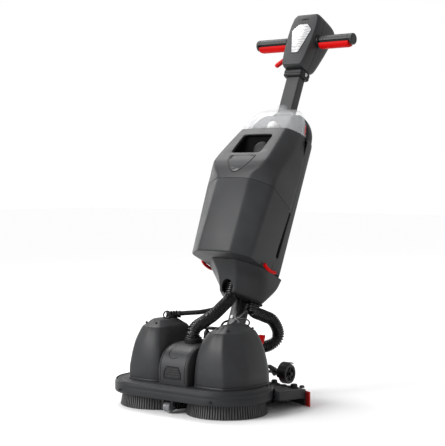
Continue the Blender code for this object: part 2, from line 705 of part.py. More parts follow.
def make_clean_tank():
    """The lower tank for clean water: an open-topped bucket that the upper tank closes."""
    def ring(up, inset, sloped=False, shift=0.0):
        half = column_half_width(seam(0.09) if sloped else up) - inset
        return tank_ring(half, TANK_PANEL - inset * 0.4, TANK_FRONT - inset, TANK_CHAMFER - inset,
                         TANK_REAR + inset, (lambda a: seam(a, shift)) if sloped else (lambda a: up))
    wall = TANK_WALL
    rings = [ring(TANK_BOTTOM + wall + 0.004, wall), ring(0, wall, True), ring(0, 0, True),
             ring(TANK_BOTTOM + 0.004, 0), ring(TANK_BOTTOM, 0.004)]
    mesh_part("clean_tank", loft(rings), "body_plastic", COLUMN)


RECOVERY_SECTIONS = [  # up, half width, panel half width, front, chamfer
    (0.452, 0.1165, 0.0760, 0.158, 0.119),
    (0.486, 0.1175, 0.0900, 0.147, 0.106),
    (0.542, 0.1140, 0.0850, 0.119, 0.076),
    (TANK_TOP, 0.1020, 0.0770, 0.085, 0.045),
]


def make_recovery_tank():
    """The upper tank for dirty water, open above, with a hand pocket in its sloping front."""
    def low_ring(inset, shift):
        half = column_half_width(seam(0.09)) - inset
        return tank_ring(half, TANK_PANEL - inset * 0.4, TANK_FRONT - inset, TANK_CHAMFER - inset,
                         TANK_REAR + inset, lambda a: seam(a, shift))

    def ring(section, inset):
        up, half, panel, front, chamfer = section
        return tank_ring(half - inset, panel - inset * 0.6, front - inset, chamfer - inset,
                         TANK_REAR + inset, lambda a: up)
    wall = TANK_WALL
    rings = [low_ring(wall, wall + GAP), *[ring(s, wall) for s in RECOVERY_SECTIONS],
             *[ring(s, 0) for s in reversed(RECOVERY_SECTIONS)], low_ring(0, GAP)]
    tank = mesh_part("recovery_tank", loft(rings), "upper_plastic", COLUMN)
    pocket_wall = 0.003

    def pocket(grow, mouth):
        low, high = 0.508 - grow, 0.580 + grow
        back, half = 0.086 - grow, 0.049 + grow
        sections = ((low, 0.1395 + mouth), (high, 0.0995 + mouth))
        return loft([[col(-half, back, up), col(half, back, up), col(half, front, up),
                      col(-half, front, up)] for up, front in sections])
    combine(tank, cutter("pocket_block", pocket(pocket_wall, -0.004), COLUMN), "UNION")
    combine(tank, cutter("pocket_cut", pocket(0, 0.03), COLUMN))


def make_lid():
    """The clear dome over the recovery tank, with the float below it."""
    base = (TANK_TOP + GAP, 0.1020, 0.0770, 0.085, 0.045)
    sections = [base, (0.630, 0.0980, 0.0740, 0.075, 0.046), (0.660, 0.0880, 0.0660, 0.060, 0.042),
                (0.680, 0.0760, 0.0560, 0.048, 0.036), (LID_TOP, 0.0640, 0.0460, 0.038, 0.030)]

    def ring(section, inset, up=None):
        height, half, panel, front, chamfer = section
        return tank_ring(half - inset, panel - inset * 0.5, front - inset, chamfer - inset * 0.5,
                         TANK_REAR + inset, lambda a: height if up is None else up)
    outside = [ring(s, 0) for s in sections]
    inside = [ring(s, 0.0025) for s in sections[:-1]]
    roof = ring(sections[-1], 0.0030, LID_TOP - 0.0025)
    mesh_part("clear_lid", loft([roof, *reversed(inside), *outside]), "clear_plastic", COLUMN)
    profile = [(0.012, 0.0), (0.016, 0.004), (0.017, 0.010), (0.014, 0.018), (0.008, 0.023),
               (0.003, 0.0255)]
    rings = [[col(r * math.cos(a), FLOAT_AHEAD + r * math.sin(a), FLOAT_UP + h)
              for a in [math.tau * i / 16 for i in range(16)]] for r, h in profile]
    mesh_part("float_ball", loft(rings), "white_plastic", COLUMN)


def make_latch(side, word):
    """A red bail at the tank's lower rear corner that holds the tank to the housing."""
    x = side * 0.1060
    route = [col(x, 0.070, 0.2140), col(x, 0.056, 0.2060), col(x, 0.038, 0.2020),
             col(x, 0.020, 0.2030), col(x, 0.006, 0.2070)]
    tube(f"{word}_latch", route, 0.0034, "red_plastic", COLUMN, 2, 0.009)


# ---- handle -------------------------------------------------------------------------------------
def make_handle_tube():
    def ring(inset, up):
        x, depth = TUBE_X / 2 - inset, TUBE_DEPTH / 2 - inset
        return [col(px, ahead, up) for px, ahead in rounded_rect(-x, x, -depth, depth, 0.004, 2)]
    top = 0.900
    mesh_part("handle_tube", loft([
        ring(0, TUBE_FOOT), ring(0, top), ring(TUBE_WALL, top), ring(TUBE_WALL, TUBE_FOOT),
    ], closed=True), "coated_metal", COLUMN)
    x0, d0 = TUBE_X / 2 + 0.0005, TUBE_DEPTH / 2 + 0.0005

    def collar(grow, up):
        return [col(px, ahead, up) for px, ahead in
                rounded_rect(-x0 - grow, x0 + grow, -d0 - grow, d0 + grow, 0.005, 2)]
    mesh_part("clamp_collar", loft([
        collar(0, 0.809), collar(0.006, 0.809), collar(0.0080, 0.814), collar(0.0080, 0.828),
        collar(0.006, 0.8325), collar(0, 0.8325),
    ], closed=True), "black_plastic", COLUMN)


def head_outline(inset):
    """The head's outline seen from the front, as (x, up): wide shoulders, narrow at the collar."""
    half = [(0.036, 1.015), (0.045, 1.004), (0.049, 0.975), (0.0485, 0.935), (0.045, 0.890),
            (0.0405, 0.855), (0.0370, 0.840), (0.032, HEAD_BOTTOM)]
    middle = 0.93
    shrink = 1 - inset / 0.048
    points = [(x * shrink, middle + (up - middle) * (1 - inset / 0.09)) for x, up in half]
    return points + [(-x, up) for x, up in reversed(points)]


def head_front(up):
    """How far ahead the head's flat front stands at a height."""
    return 0.0265 + 0.085 * (1.0 - up)


def head_back(up):
    return -0.077 + 0.31 * (0.985 - up)


def head_shell(name, surface, sign):
    """Half of the head: a shell that opens at the parting plane through the handlebar."""
    def ring(inset, share, wall=0.0):
        return [col(x, sign * 0.0003 + share * (surface(up) - wall), up)
                for x, up in head_outline(inset)]
    wall = sign * 0.003
    shell = mesh_part(name, loft([
        ring(0.010, 1.0, wall), ring(0.004, 0.70), ring(0.003, 0.0), ring(0, 0.0),
        ring(0.0008, 0.76), ring(0.0045, 0.95), ring(0.008, 1.0),
    ]), "upper_plastic", COLUMN)
    bar = rod(col(-0.08, 0, BAR_UP), col(0.08, 0, BAR_UP), 0.0112, 24)
    combine(shell, cutter(f"{name}_bar_hole", bar, COLUMN))
    x, depth = TUBE_X / 2 + 0.0007, TUBE_DEPTH / 2 + 0.0007
    combine(shell, cutter(f"{name}_tube_hole", column_box(-x, x, -depth, depth, 0.80, 0.905),
                          COLUMN))


def make_badge():
    """A plain shield-shaped plate on the head's front."""
    half = [(0.012, 0.973), (0.0295, 0.954), (0.0085, 0.880)]
    outline = half + [(-x, up) for x, up in reversed(half)]
    mesh_part("badge_plate", loft([
        [col(x, head_front(up) + rise, up) for x, up in outline] for rise in (0.0007, 0.0022)
    ]), "white_plastic", COLUMN)


def make_control_panel():
    """The panel on the head's back, with two push buttons standing in it."""
    def plate(x0, x1, up0, up1, rise0, rise1):
        corners = [(x0, up0), (x1, up0), (x1, up1), (x0, up1)]
        return loft([[col(x, head_back(up) - rise, up) for x, up in corners]
                     for rise in (rise0, rise1)])
    panel = mesh_part("control_panel", plate(-0.030, 0.030, 0.900, 0.975, 0.0006, 0.0036),
                      "black_plastic", COLUMN)
    tilt = Vector((0, 1, -0.31)).normalized()
    for name, x, up, finish in (("power_button", -0.014, 0.952, "red_plastic"),
                                ("water_button", 0.014, 0.952, "cable_grey")):
        centre = col(x, head_back(up), up)
        combine(panel, cutter(f"{name}_hole", rod(centre - tilt * 0.01, centre + tilt * 0.01,
                                                  0.0085, 20), COLUMN))
        mesh_part(name, rod(centre + tilt * 0.0026, centre + tilt * 0.0068, 0.0078, 20), finish,
                  COLUMN)


def make_handlebar():
    """The bar through the head, a half-shell grip on each side, and a trigger under each grip."""
    bar_axis = empty("bar_axis", col(0, 0, BAR_UP), COLUMN, (math.radians(LEAN), 0, 0))
    core = 0.0105
    mesh_part("handlebar", rod((-0.163, 0, 0), (0.163, 0, 0), core, 24), "coated_metal", bar_axis)
    for side, word in ((1, "left"), (-1, "right")):
        make_grip(side, word, bar_axis, core)
        make_trigger(side, word, bar_axis)


def arch_points(x, inner, outer, start, end, steps=10):
    """A half-ring section in the plane of x, from one angle to the other, in degrees."""
    angles = [math.radians(start + (end - start) * i / steps) for i in range(steps + 1)]
    ring = [(x, outer * math.cos(a), outer * math.sin(a)) for a in angles]
    return ring + [(x, inner * math.cos(a), inner * math.sin(a)) for a in reversed(angles)]


def make_grip(side, word, bar_axis, core):
    """The upper half of a grip and its round end cap."""
    inner = core + 0.0005
    grip = mesh_part(f"{word}_grip", loft([
        arch_points(side * x, inner, GRIP_RADIUS, 4, 176) for x in (0.0560, 0.1610)
    ]), "upper_plastic", bar_axis)
    x0, x1 = side * 0.1590, side * BAR_HALF
    cap = cutter(f"{word}_grip_cap", rod((x0, 0, 0), (x1, 0, 0), GRIP_RADIUS, 28), bar_axis)
    combine(grip, cap, "UNION")
    bore = cutter(f"{word}_grip_bore", rod((side * 0.10, 0, 0), (side * 0.1635, 0, 0), inner, 24),
                  bar_axis)
    combine(grip, bore)


def make_trigger(side, word, bar_axis):
    """A red bar under the grip, hinged along its rear edge."""
    hinge = empty(f"{word}_trigger_axis", (0, 0.0150, -0.0020), bar_axis)
    lips = [(-0.0165, -0.0050), (-0.0180, -0.0130), (-0.0135, -0.0225), (0.0040, -0.0240),
            (0.0130, -0.0180), (0.0165, -0.0050), (0.0165, -0.0012), (0.0135, -0.0012),
            (0.0120, -0.0080), (0.0, -0.0155), (-0.0115, -0.0085), (-0.0125, -0.0050)]

    def ring(x, shrink):
        return [(side * x, y - 0.0150, (z - 0.004) * shrink + 0.004 + 0.0020) if z < -0.012 else
                (side * x, y - 0.0150, z + 0.0020) for y, z in lips]
    mesh_part(f"{word}_trigger", loft([ring(0.0575, 0.90), ring(0.0640, 1.0), ring(0.1490, 1.0),
                                       ring(0.1560, 0.90)]), "red_plastic", hinge)


def make_height_lever():
    """The red lever under the head's right shoulder that frees the telescopic tube."""
    hinge = empty("height_lever_axis", col(-0.0385, 0.012, 0.868), COLUMN)
    outline = [(-0.0085, 0.004), (-0.0085, -0.004), (-0.032, -0.022), (-0.038, -0.020),
               (-0.037, -0.013), (-0.014, 0.005)]
    lever = mesh_part("height_lever", loft([[(x, y, z) for x, z in outline]
                                            for y in (-0.005, 0.005)]), "red_plastic", hinge)
    bevel(lever, 0.0015)


# ---- hoses and cables ---------------------------------------------------------------------------
def make_hoses():
    """Routes run from the column's underside, straight out of it, down to the base."""
    front = [col_world(0, WATER_HOSE_AHEAD, 0.138), col_world(0, WATER_HOSE_AHEAD, 0.112),
             (0, 0.132, 0.256),
             (0, 0.092, 0.236), (0, 0.050, 0.222), (0, 0.018, 0.212), (0, CUFF_Y, 0.200),
             (0, CUFF_Y, 0.1866)]
    rear = [col_world(0.0375, -0.030, 0.138), col_world(0.0375, -0.030, 0.105),
            (0.043, 0.262, 0.220), (0.050, 0.293, 0.206), (0.057, 0.311, 0.176),
            (0.053, 0.313, 0.150), (0.036, 0.292, 0.132), (0.012, 0.246, 0.128),
            (0.000, 0.222, 0.116), (0.000, 0.222, 0.1006)]
    cable = [col_world(-0.030, -0.004, 0.138), col_world(-0.030, -0.004, 0.104),
             (-0.040, 0.166, 0.244), (-0.062, 0.120, 0.2370), (-0.090, 0.084, 0.2350),
             (-0.122, 0.050, 0.2325)]
    tube("front_hose", front, HOSE_RADIUS, "hose_plastic")
    tube("rear_hose", rear, HOSE_RADIUS, "hose_plastic")
    tube("motor_cable", cable, CABLE_RADIUS, "hose_plastic", None, 2, 0.014)


def make_ground_cable():
    """A thin grey lead bowed between the housing and the left cowl's top."""
    route = [col_world(0.0172, -0.034, 0.1240), (0.0175, 0.214, 0.238), (0.024, 0.172, 0.224),
             (0.050, 0.124, 0.228), (0.108, 0.058, 0.2280)]
    tube("grey_lead", route, 0.0025, "cable_grey", None, 2, 0.011)


# ---- the whole machine --------------------------------------------------------------------------
def main():
    global PARTS, CUTTERS, ROOT, COLUMN
    for obj in list(bpy.data.objects):
        bpy.data.objects.remove(obj)
    PARTS = bpy.data.collections.new("floor_scrubber")
    CUTTERS = bpy.data.collections.new("cutters")
    for collection in (PARTS, CUTTERS):
        bpy.context.scene.collection.children.link(collection)
    ROOT = empty("brush_line", (0, -BOX_MIDDLE_Y, 0))
    COLUMN = empty("column_axis", (0, PIVOT_Y, PIVOT_Z), ROOT, (math.radians(-LEAN), 0, 0))

    make_deck()
    make_centre_cover()
    make_tie_bar()
    make_pivot_bracket()
    make_front_roller()
    for side, word in ((1, "left"), (-1, "right")):
        make_brush(side, word)
        make_cowl(side, word)
        make_latch(side, word)
    make_squeegee()
    make_wheels()
    make_foot_pedal()
    make_cross()
    make_neck()
    housing_holes(make_lower_housing())
    make_rear_cover()
    make_column_contents()
    make_motor_cover()
    make_clean_tank()
    make_recovery_tank()
    make_lid()
    make_handle_tube()
    head_shell("head_front_shell", head_front, 1)
    head_shell("head_rear_shell", head_back, -1)
    make_badge()
    make_control_panel()
    make_handlebar()
    make_height_lever()
    make_hoses()
    make_ground_cable()


main()
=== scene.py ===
"""Looks for the compact floor scrubber: smooth mouldings, tufted brushes, corrugated hoses, materials.

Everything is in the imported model's frame: metres, +Z up, -Y the machine's front, +X its left side.
Base pieces are placed from the brush line. Column pieces are placed as (x, ahead, up), as in the CAD.
"""

import math
import json

import bmesh
import bpy
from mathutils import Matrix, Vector
from mathutils.noise import noise
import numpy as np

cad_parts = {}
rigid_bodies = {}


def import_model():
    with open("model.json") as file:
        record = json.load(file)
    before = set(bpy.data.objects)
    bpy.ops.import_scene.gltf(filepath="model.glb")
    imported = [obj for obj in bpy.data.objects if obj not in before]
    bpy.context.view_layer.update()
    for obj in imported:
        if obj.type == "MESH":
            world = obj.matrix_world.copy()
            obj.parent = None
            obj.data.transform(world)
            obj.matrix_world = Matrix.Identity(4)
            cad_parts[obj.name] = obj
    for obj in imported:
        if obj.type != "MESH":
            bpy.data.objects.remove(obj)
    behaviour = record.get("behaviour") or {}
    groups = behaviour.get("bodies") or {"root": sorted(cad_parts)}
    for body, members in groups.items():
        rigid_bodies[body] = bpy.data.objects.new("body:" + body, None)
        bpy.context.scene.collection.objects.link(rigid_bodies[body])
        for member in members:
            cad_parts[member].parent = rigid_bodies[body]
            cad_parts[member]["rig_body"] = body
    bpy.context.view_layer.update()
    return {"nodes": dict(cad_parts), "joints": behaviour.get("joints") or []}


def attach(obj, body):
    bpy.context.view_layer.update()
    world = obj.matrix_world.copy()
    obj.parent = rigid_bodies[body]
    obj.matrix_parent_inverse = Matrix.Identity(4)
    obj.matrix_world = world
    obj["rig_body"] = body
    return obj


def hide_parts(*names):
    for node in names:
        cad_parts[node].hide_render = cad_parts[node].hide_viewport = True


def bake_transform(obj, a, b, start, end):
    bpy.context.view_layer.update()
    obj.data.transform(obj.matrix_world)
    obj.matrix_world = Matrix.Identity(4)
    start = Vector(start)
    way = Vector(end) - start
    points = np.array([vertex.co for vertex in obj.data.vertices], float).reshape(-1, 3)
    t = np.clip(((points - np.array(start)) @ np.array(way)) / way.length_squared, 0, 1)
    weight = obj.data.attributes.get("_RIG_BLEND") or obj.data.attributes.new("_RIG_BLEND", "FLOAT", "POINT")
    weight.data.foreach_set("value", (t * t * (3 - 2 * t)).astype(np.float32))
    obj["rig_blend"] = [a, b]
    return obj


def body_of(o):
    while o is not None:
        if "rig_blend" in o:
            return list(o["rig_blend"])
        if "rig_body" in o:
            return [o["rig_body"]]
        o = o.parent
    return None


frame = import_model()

JOINTS = {joint["name"]: joint for joint in frame["joints"]}
PIVOT = Vector(JOINTS["handle_tilt"]["pos_m"])
AHEAD = Vector(JOINTS["neck_swivel"]["axis"])
UP = Vector(JOINTS["handle_height"]["axis"])
BRUSH_X = JOINTS["left_brush_spin"]["pos_m"][0]
BRUSH_Y = JOINTS["left_brush_spin"]["pos_m"][1]
TUBE_AHEAD = 0.020  # the handle tube's centre line stands this far ahead of the tilt pivot


def col(x, ahead, up):
    """A point of the column, in the model's frame."""
    return PIVOT + Vector((x, 0, 0)) + (ahead + TUBE_AHEAD) * AHEAD + up * UP


def base(x, y, z):
    """A point of the base, given from the brush line."""
    return Vector((x, y + BRUSH_Y, z))


# ---- materials ----------------------------------------------------------------------------------
MADE = {}


def shader_nodes(name):
    made = bpy.data.materials.new(name)
    made.use_nodes = True
    nodes = made.node_tree.nodes
    return made, nodes, made.node_tree.links, nodes["Principled BSDF"]


def noise_node(nodes, links, scale, detail, stretch=(1, 1, 1)):
    """Object-space noise, stretched along the axes."""
    coords = nodes.new("ShaderNodeTexCoord")
    mapping = nodes.new("ShaderNodeMapping")
    mapping.inputs["Scale"].default_value = stretch
    made = nodes.new("ShaderNodeTexNoise")
    made.inputs["Scale"].default_value = scale
    made.inputs["Detail"].default_value = detail
    links.new(coords.outputs["Object"], mapping.inputs["Vector"])
    links.new(mapping.outputs["Vector"], made.inputs["Vector"])
    return made


def ramp_node(nodes, links, source, low, high, start=0.35, end=0.65):
    """Maps a noise output to a range of colours, given as RGB, or of grey values."""
    made = nodes.new("ShaderNodeValToRGB")
    made.color_ramp.elements[0].position = start
    made.color_ramp.elements[1].position = end
    for element, value in zip(made.color_ramp.elements, (low, high)):
        element.color = (*value, 1) if isinstance(value, tuple) else (value, value, value, 1)
    links.new(source, made.inputs["Fac"])
    return made


def moulded(name, colour, rough=0.42, spread=0.10, grain=900.0, bump=0.10, blotch=14.0,
            stretch=(1, 1, 1), vary=0.14, metallic=0.0, coat=0.0, specular=0.5):
    """A moulded or coated surface: slightly uneven colour, uneven sheen and a fine texture."""
    made, nodes, links, shader = shader_nodes(name)
    broad = noise_node(nodes, links, blotch, 4.0, stretch)
    dark = tuple(c * (1 - vary) for c in colour)
    light = tuple(min(1.0, c * (1 + vary)) for c in colour)
    tint = ramp_node(nodes, links, broad.outputs["Fac"], dark, light)
    links.new(tint.outputs["Color"], shader.inputs["Base Color"])
    sheen = ramp_node(nodes, links, broad.outputs["Fac"], rough - spread / 2, rough + spread / 2)
    links.new(sheen.outputs["Color"], shader.inputs["Roughness"])
    fine = noise_node(nodes, links, grain, 2.0, stretch)
    step = nodes.new("ShaderNodeBump")
    step.inputs["Strength"].default_value = bump
    step.inputs["Distance"].default_value = 0.0004
    links.new(fine.outputs["Fac"], step.inputs["Height"])
    links.new(step.outputs["Normal"], shader.inputs["Normal"])
    shader.inputs["Metallic"].default_value = metallic
    shader.inputs["Coat Weight"].default_value = coat
    shader.inputs["Specular IOR Level"].default_value = specular
    return made


def clear_material(name):
    """Clear plastic with a frosted, slightly milky surface."""
    made, nodes, links, shader = shader_nodes(name)
    cloud = noise_node(nodes, links, 30.0, 3.0)
    tint = ramp_node(nodes, links, cloud.outputs["Fac"], (0.62, 0.64, 0.65), (0.74, 0.76, 0.77))
    links.new(tint.outputs["Color"], shader.inputs["Base Color"])
    frost = ramp_node(nodes, links, cloud.outputs["Fac"], 0.12, 0.22)
    links.new(frost.outputs["Color"], shader.inputs["Roughness"])
    shader.inputs["Alpha"].default_value = 0.12
    shader.inputs["IOR"].default_value = 1.49
    made.blend_method = "BLEND"
    return made


def badge_material(name):
    """White lacquer with faint grey bands."""
    made, nodes, links, shader = shader_nodes(name)
    coords = nodes.new("ShaderNodeTexCoord")
    bands = nodes.new("ShaderNodeTexWave")
    bands.wave_type = "BANDS"
    bands.bands_direction = "Z"
    bands.inputs["Scale"].default_value = 42.0
    bands.inputs["Distortion"].default_value = 5.0
    bands.inputs["Detail"].default_value = 1.0
    bands.inputs["Detail Scale"].default_value = 1.2
    links.new(coords.outputs["Object"], bands.inputs["Vector"])
    tint = ramp_node(nodes, links, bands.outputs["Fac"], (0.26, 0.27, 0.28), (0.52, 0.52, 0.52),
                     0.05, 0.30)
    links.new(tint.outputs["Color"], shader.inputs["Base Color"])
    fine = noise_node(nodes, links, 60.0, 2.0)
    gloss = ramp_node(nodes, links, fine.outputs["Fac"], 0.22, 0.32)
    links.new(gloss.outputs["Color"], shader.inputs["Roughness"])
    return made


def surface(*values, **named):
    """The maker of one moulded finish; its values are those of moulded, after the name."""
    return lambda name: moulded(name, *values, **named)


LONGWAYS = (1, 1, 0.04)  # a texture drawn out along a bristle
BRUSHED = (1, 1, 0.1)
EVEN = (1, 1, 1)
FINISHES = {  # finish: (record slot, maker)
    "body": ("body_plastic", surface((0.024, 0.025, 0.026), 0.44, 0.08, specular=0.24)),
    "upper": ("upper_plastic", surface((0.026, 0.027, 0.028), 0.43, 0.08, specular=0.24)),
    "black": ("black_plastic", surface((0.008, 0.008, 0.009), 0.42, 0.10, specular=0.20)),
    "bumper": ("black_plastic", surface((0.017, 0.018, 0.019), 0.50, 0.10, 700, 0.14, specular=0.20)),
    "red": ("red_plastic", surface((0.46, 0.0010, 0.0010), 0.46, 0.06, 500, 0.04, 9, specular=0.08)),
    "blade": ("red_rubber", surface((0.48, 0.022, 0.018), 0.50, 0.10, 600, 0.10, 20, specular=0.25)),
    "rubber": ("rubber", surface((0.010, 0.010, 0.011), 0.55, 0.12, 800, 0.20)),
    "hose": ("hose_plastic", surface((0.008, 0.008, 0.0085), 0.27, 0.08, 500, 0.04)),
    "grey": ("cable_grey", surface((0.13, 0.135, 0.14), 0.40, 0.10, 500, 0.05)),
    "white": ("white_plastic", surface((0.80, 0.80, 0.79), 0.30, 0.08, 400, 0.03)),
    "bristle": ("bristle", surface((0.038, 0.039, 0.040), 0.55, 0.14, 1500, 0.5, 260, LONGWAYS, 0.35)),
    "coated": ("coated_metal", surface((0.018, 0.019, 0.020), 0.38, 0.10, 1400, 0.12, 12, EVEN, 0.12,
                                       metallic=0.25)),
    "tube": ("coated_metal", surface((0.028, 0.029, 0.029), 0.44, 0.08, 1600, 0.10, 16, EVEN, 0.10,
                                     specular=0.26)),
    "steel": ("steel", surface((0.52, 0.52, 0.53), 0.28, 0.12, 900, 0.08, 40, BRUSHED, 0.10,
                               metallic=1.0)),
    "inside": ("black_plastic", surface((0.22, 0.22, 0.22), 0.50, 0.10, 500, 0.06)),
    # painted shade: a near-black, matte finish that stands in for the shade inside pockets, slots and
    # grooves
    "cavity": ("black_plastic", surface((0.004, 0.004, 0.004), 0.80, 0.10, 500, 0.06, specular=0.05)),
    "clear": ("clear_plastic", clear_material),
    "badge": ("white_plastic", badge_material),
}


def finish_material(finish):
    if finish not in MADE:
        MADE[finish] = FINISHES[finish][1](finish + "_finish")
    return MADE[finish]


# ---- shapes: a shape is (points, faces) ---------------------------------------------------------
def merge(*shapes):
    points, faces = [], []
    for some, more in shapes:
        start = len(points)
        points.extend(some)
        faces.extend([tuple(i + start for i in face) for face in more])
    return points, faces


def loft(rings, ends=True, closed=False):
    """Skins a row of equal rings; ends closes both ends, and closed joins the last to the first."""
    count = len(rings[0])
    points = [Vector(p) for ring in rings for p in ring]
    faces = []
    bands = len(rings) if closed else len(rings) - 1
    for i in range(bands):
        a, b = i * count, (i + 1) % len(rings) * count
        for j in range(count):
            k = (j + 1) % count
            faces.append((a + j, a + k, b + k, b + j))
    if ends and not closed:
        faces.append(tuple(reversed(range(count))))
        last = (len(rings) - 1) * count
        faces.append(tuple(range(last, last + count)))
    return points, faces


def fillet(corners, cuts, steps=5):
    """A closed outline whose corners are rounded, each starting its bend `cut` before the corner."""
    made = []
    count = len(corners)
    cuts = cuts if isinstance(cuts, (list, tuple)) else [cuts] * count
    for i, (corner, cut) in enumerate(zip(corners, cuts)):
        here = Vector(corner)
        if not cut:
            made.append(here)
            continue
        before = Vector(corners[i - 1]) - here
        after = Vector(corners[(i + 1) % count]) - here
        start = here + before.normalized() * min(cut, before.length * 0.49)
        end = here + after.normalized() * min(cut, after.length * 0.49)
        for k in range(steps + 1):
            t = k / steps
            made.append(start * (1 - t) ** 2 + here * 2 * t * (1 - t) + end * t**2)
    return made


def rounded_rect(x0, x1, y0, y1, cut, steps=6):
    return fillet([(x1, y0), (x1, y1), (x0, y1), (x0, y0)], cut, steps)


def mirrored(side):
    """An outline's points on one side, then the same points on the other side in reverse."""
    return side + [(-x, other) for x, other in reversed(side)]


def spline_at(a, b, c, d, t):
    """The value or point a share t of the way from b to c, on a smooth curve through all four."""
    return 0.5 * (2 * b + (c - a) * t + (2 * a - 5 * b + 4 * c - d) * t**2
                  + (3 * b - a - 3 * c + d) * t**3)


def rising(table, steps):
    """Rows between the rows of a table, on a smooth curve through each of its columns."""
    rows = [list(row) for row in table]
    rows = [[2 * a - b for a, b in zip(rows[0], rows[1])], *rows,
            [2 * a - b for a, b in zip(rows[-1], rows[-2])]]
    made = []
    for p, q, r, s in zip(rows, rows[1:], rows[2:], rows[3:]):
        for k in range(steps):
            t = k / steps
            made.append([spline_at(a, b, c, d, t) for a, b, c, d in zip(p, q, r, s)])
    return made + [rows[-2]]


def circle(centre, radius, across, along, sides=24, turn=0.0):
    """A ring of points about a centre, in the plane of two unit vectors."""
    angles = [math.tau * (i + turn) / sides for i in range(sides)]
    return [centre + radius * (math.cos(a) * across + math.sin(a) * along) for a in angles]


def plane_of(direction):
    """Two unit vectors square to a direction."""
    other = Vector((0, 0, 1)) if abs(direction.z) < 0.9 else Vector((1, 0, 0))
    across = direction.cross(other).normalized()
    return across, direction.cross(across).normalized()


def turned(centre, direction, profile, sides=32, closed=False):
    """A turned shape: profile rows are (along the axis, radius)."""
    direction = Vector(direction).normalized()
    across, along = plane_of(direction)
    centre = Vector(centre)
    rings = [circle(centre + direction * h, r, across, along, sides) for h, r in profile]
    return loft(rings, closed=closed)


def curve_through(points, spacing):
    """Points about `spacing` apart on a smooth curve through a route."""
    route = [Vector(p) for p in points]
    route = [2 * route[0] - route[1], *route, 2 * route[-1] - route[-2]]
    made = []
    for a, b, c, d in zip(route, route[1:], route[2:], route[3:]):
        steps = max(2, round((c - b).length / spacing))
        for i in range(steps):
            made.append(spline_at(a, b, c, d, i / steps))
    return made + [route[-2]]


def swept_rings(path, radius, sides=20):
    """Rings along a path; radius is a number or a function of distance and angle in turns."""
    rings = []
    across = plane_of((path[1] - path[0]).normalized())[0]
    gone = 0.0
    for i, here in enumerate(path):
        tangent = (path[min(i + 1, len(path) - 1)] - path[max(i - 1, 0)]).normalized()
        across = (across - tangent * across.dot(tangent)).normalized()
        along = tangent.cross(across)
        if i:
            gone += (here - path[i - 1]).length
        ring = []
        for k in range(sides):
            a = math.tau * k / sides
            r = radius(gone, k / sides) if callable(radius) else radius
            ring.append(here + r * (math.cos(a) * across + math.sin(a) * along))
        rings.append(ring)
    return rings


def swept(path, radius, sides=20):
    """A tube along a path."""
    return loft(swept_rings(path, radius, sides))


def slab(outline, low, high, place, edge=0.001):
    """A plate with softened edges: outline in two axes, low and high in the third."""
    middle = sum((Vector(p) for p in outline), Vector((0, 0))) / len(outline)
    size = max((Vector(p) - middle).length for p in outline)

    def ring(inset, level):
        return [place(*(middle + (Vector(p) - middle) * (1 - inset / size)), level) for p in outline]
    return loft([ring(edge, low), ring(edge * 0.3, low + edge * 0.3), ring(0, low + edge),
                 ring(0, high - edge), ring(edge * 0.3, high - edge * 0.3), ring(edge, high)])


def screw(centre, outward, radius=0.0042):
    """A domed screw head with a hexagonal socket."""
    outward = Vector(outward).normalized()
    across, along = plane_of(outward)
    centre = Vector(centre)
    head = [(-0.001, radius), (0.0006, radius), (0.0014, radius * 0.86), (0.0018, radius * 0.6)]
    socket = [(0.0018, radius * 0.46), (0.0002, radius * 0.44)]
    return loft([circle(centre + outward * h, r, across, along, 18) for h, r in head + socket])


# ---- pieces -------------------------------------------------------------------------------------
def placed(name, shape):
    """An object in the scene made from a shape, with its faces turned outwards."""
    mesh = bpy.data.meshes.new(name)
    mesh.from_pydata([tuple(p) for p in shape[0]], [], shape[1])
    sides = bmesh.new()
    sides.from_mesh(mesh)
    bmesh.ops.recalc_face_normals(sides, faces=sides.faces)
    sides.to_mesh(mesh)
    sides.free()
    obj = bpy.data.objects.new(name, mesh)
    bpy.context.scene.collection.objects.link(obj)
    return obj


def piece(name, shape, finish, body, replaces=(), angle=38, edge=0.0, segments=2):
    """Makes a visible piece of a shape, gives it its finish and sets it riding on its body."""
    obj = placed(name, shape)
    mesh = obj.data
    mesh.materials.append(finish_material(finish))
    if edge:
        soften(obj, edge, segments)
    mesh.shade_smooth()
    mesh.set_sharp_from_angle(angle=math.radians(angle))
    if body:
        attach(obj, body)
    if replaces:
        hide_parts(*replaces)
    return obj


def soften(obj, width, segments=2, angle=32):
    """Rounds an object's sharp edges for good."""
    step = obj.modifiers.new("edges", "BEVEL")
    step.width = width
    step.segments = segments
    step.limit_method = "ANGLE"
    step.angle_limit = math.radians(angle)
    settle(obj)


def settle(obj):
    """Replaces an object's mesh with what its modifiers make of it."""
    bpy.context.view_layer.update()
    graph = bpy.context.evaluated_depsgraph_get()
    made = bpy.data.meshes.new_from_object(obj.evaluated_get(graph))
    obj.modifiers.clear()
    old = obj.data
    obj.data = made
    bpy.data.meshes.remove(old)


def carve(obj, shape, join=False):
    """Cuts a shape out of an object, or joins it on."""
    tool = placed("cutter", shape)
    mesh = tool.data
    step = obj.modifiers.new("carve", "BOOLEAN")
    step.operation = "UNION" if join else "DIFFERENCE"
    step.solver = "EXACT"
    step.object = tool
    settle(obj)
    bpy.data.objects.remove(tool)
    bpy.data.meshes.remove(mesh)


def smooth_again(obj, angle=38):
    obj.data.shade_smooth()
    obj.data.set_sharp_from_angle(angle=math.radians(angle))


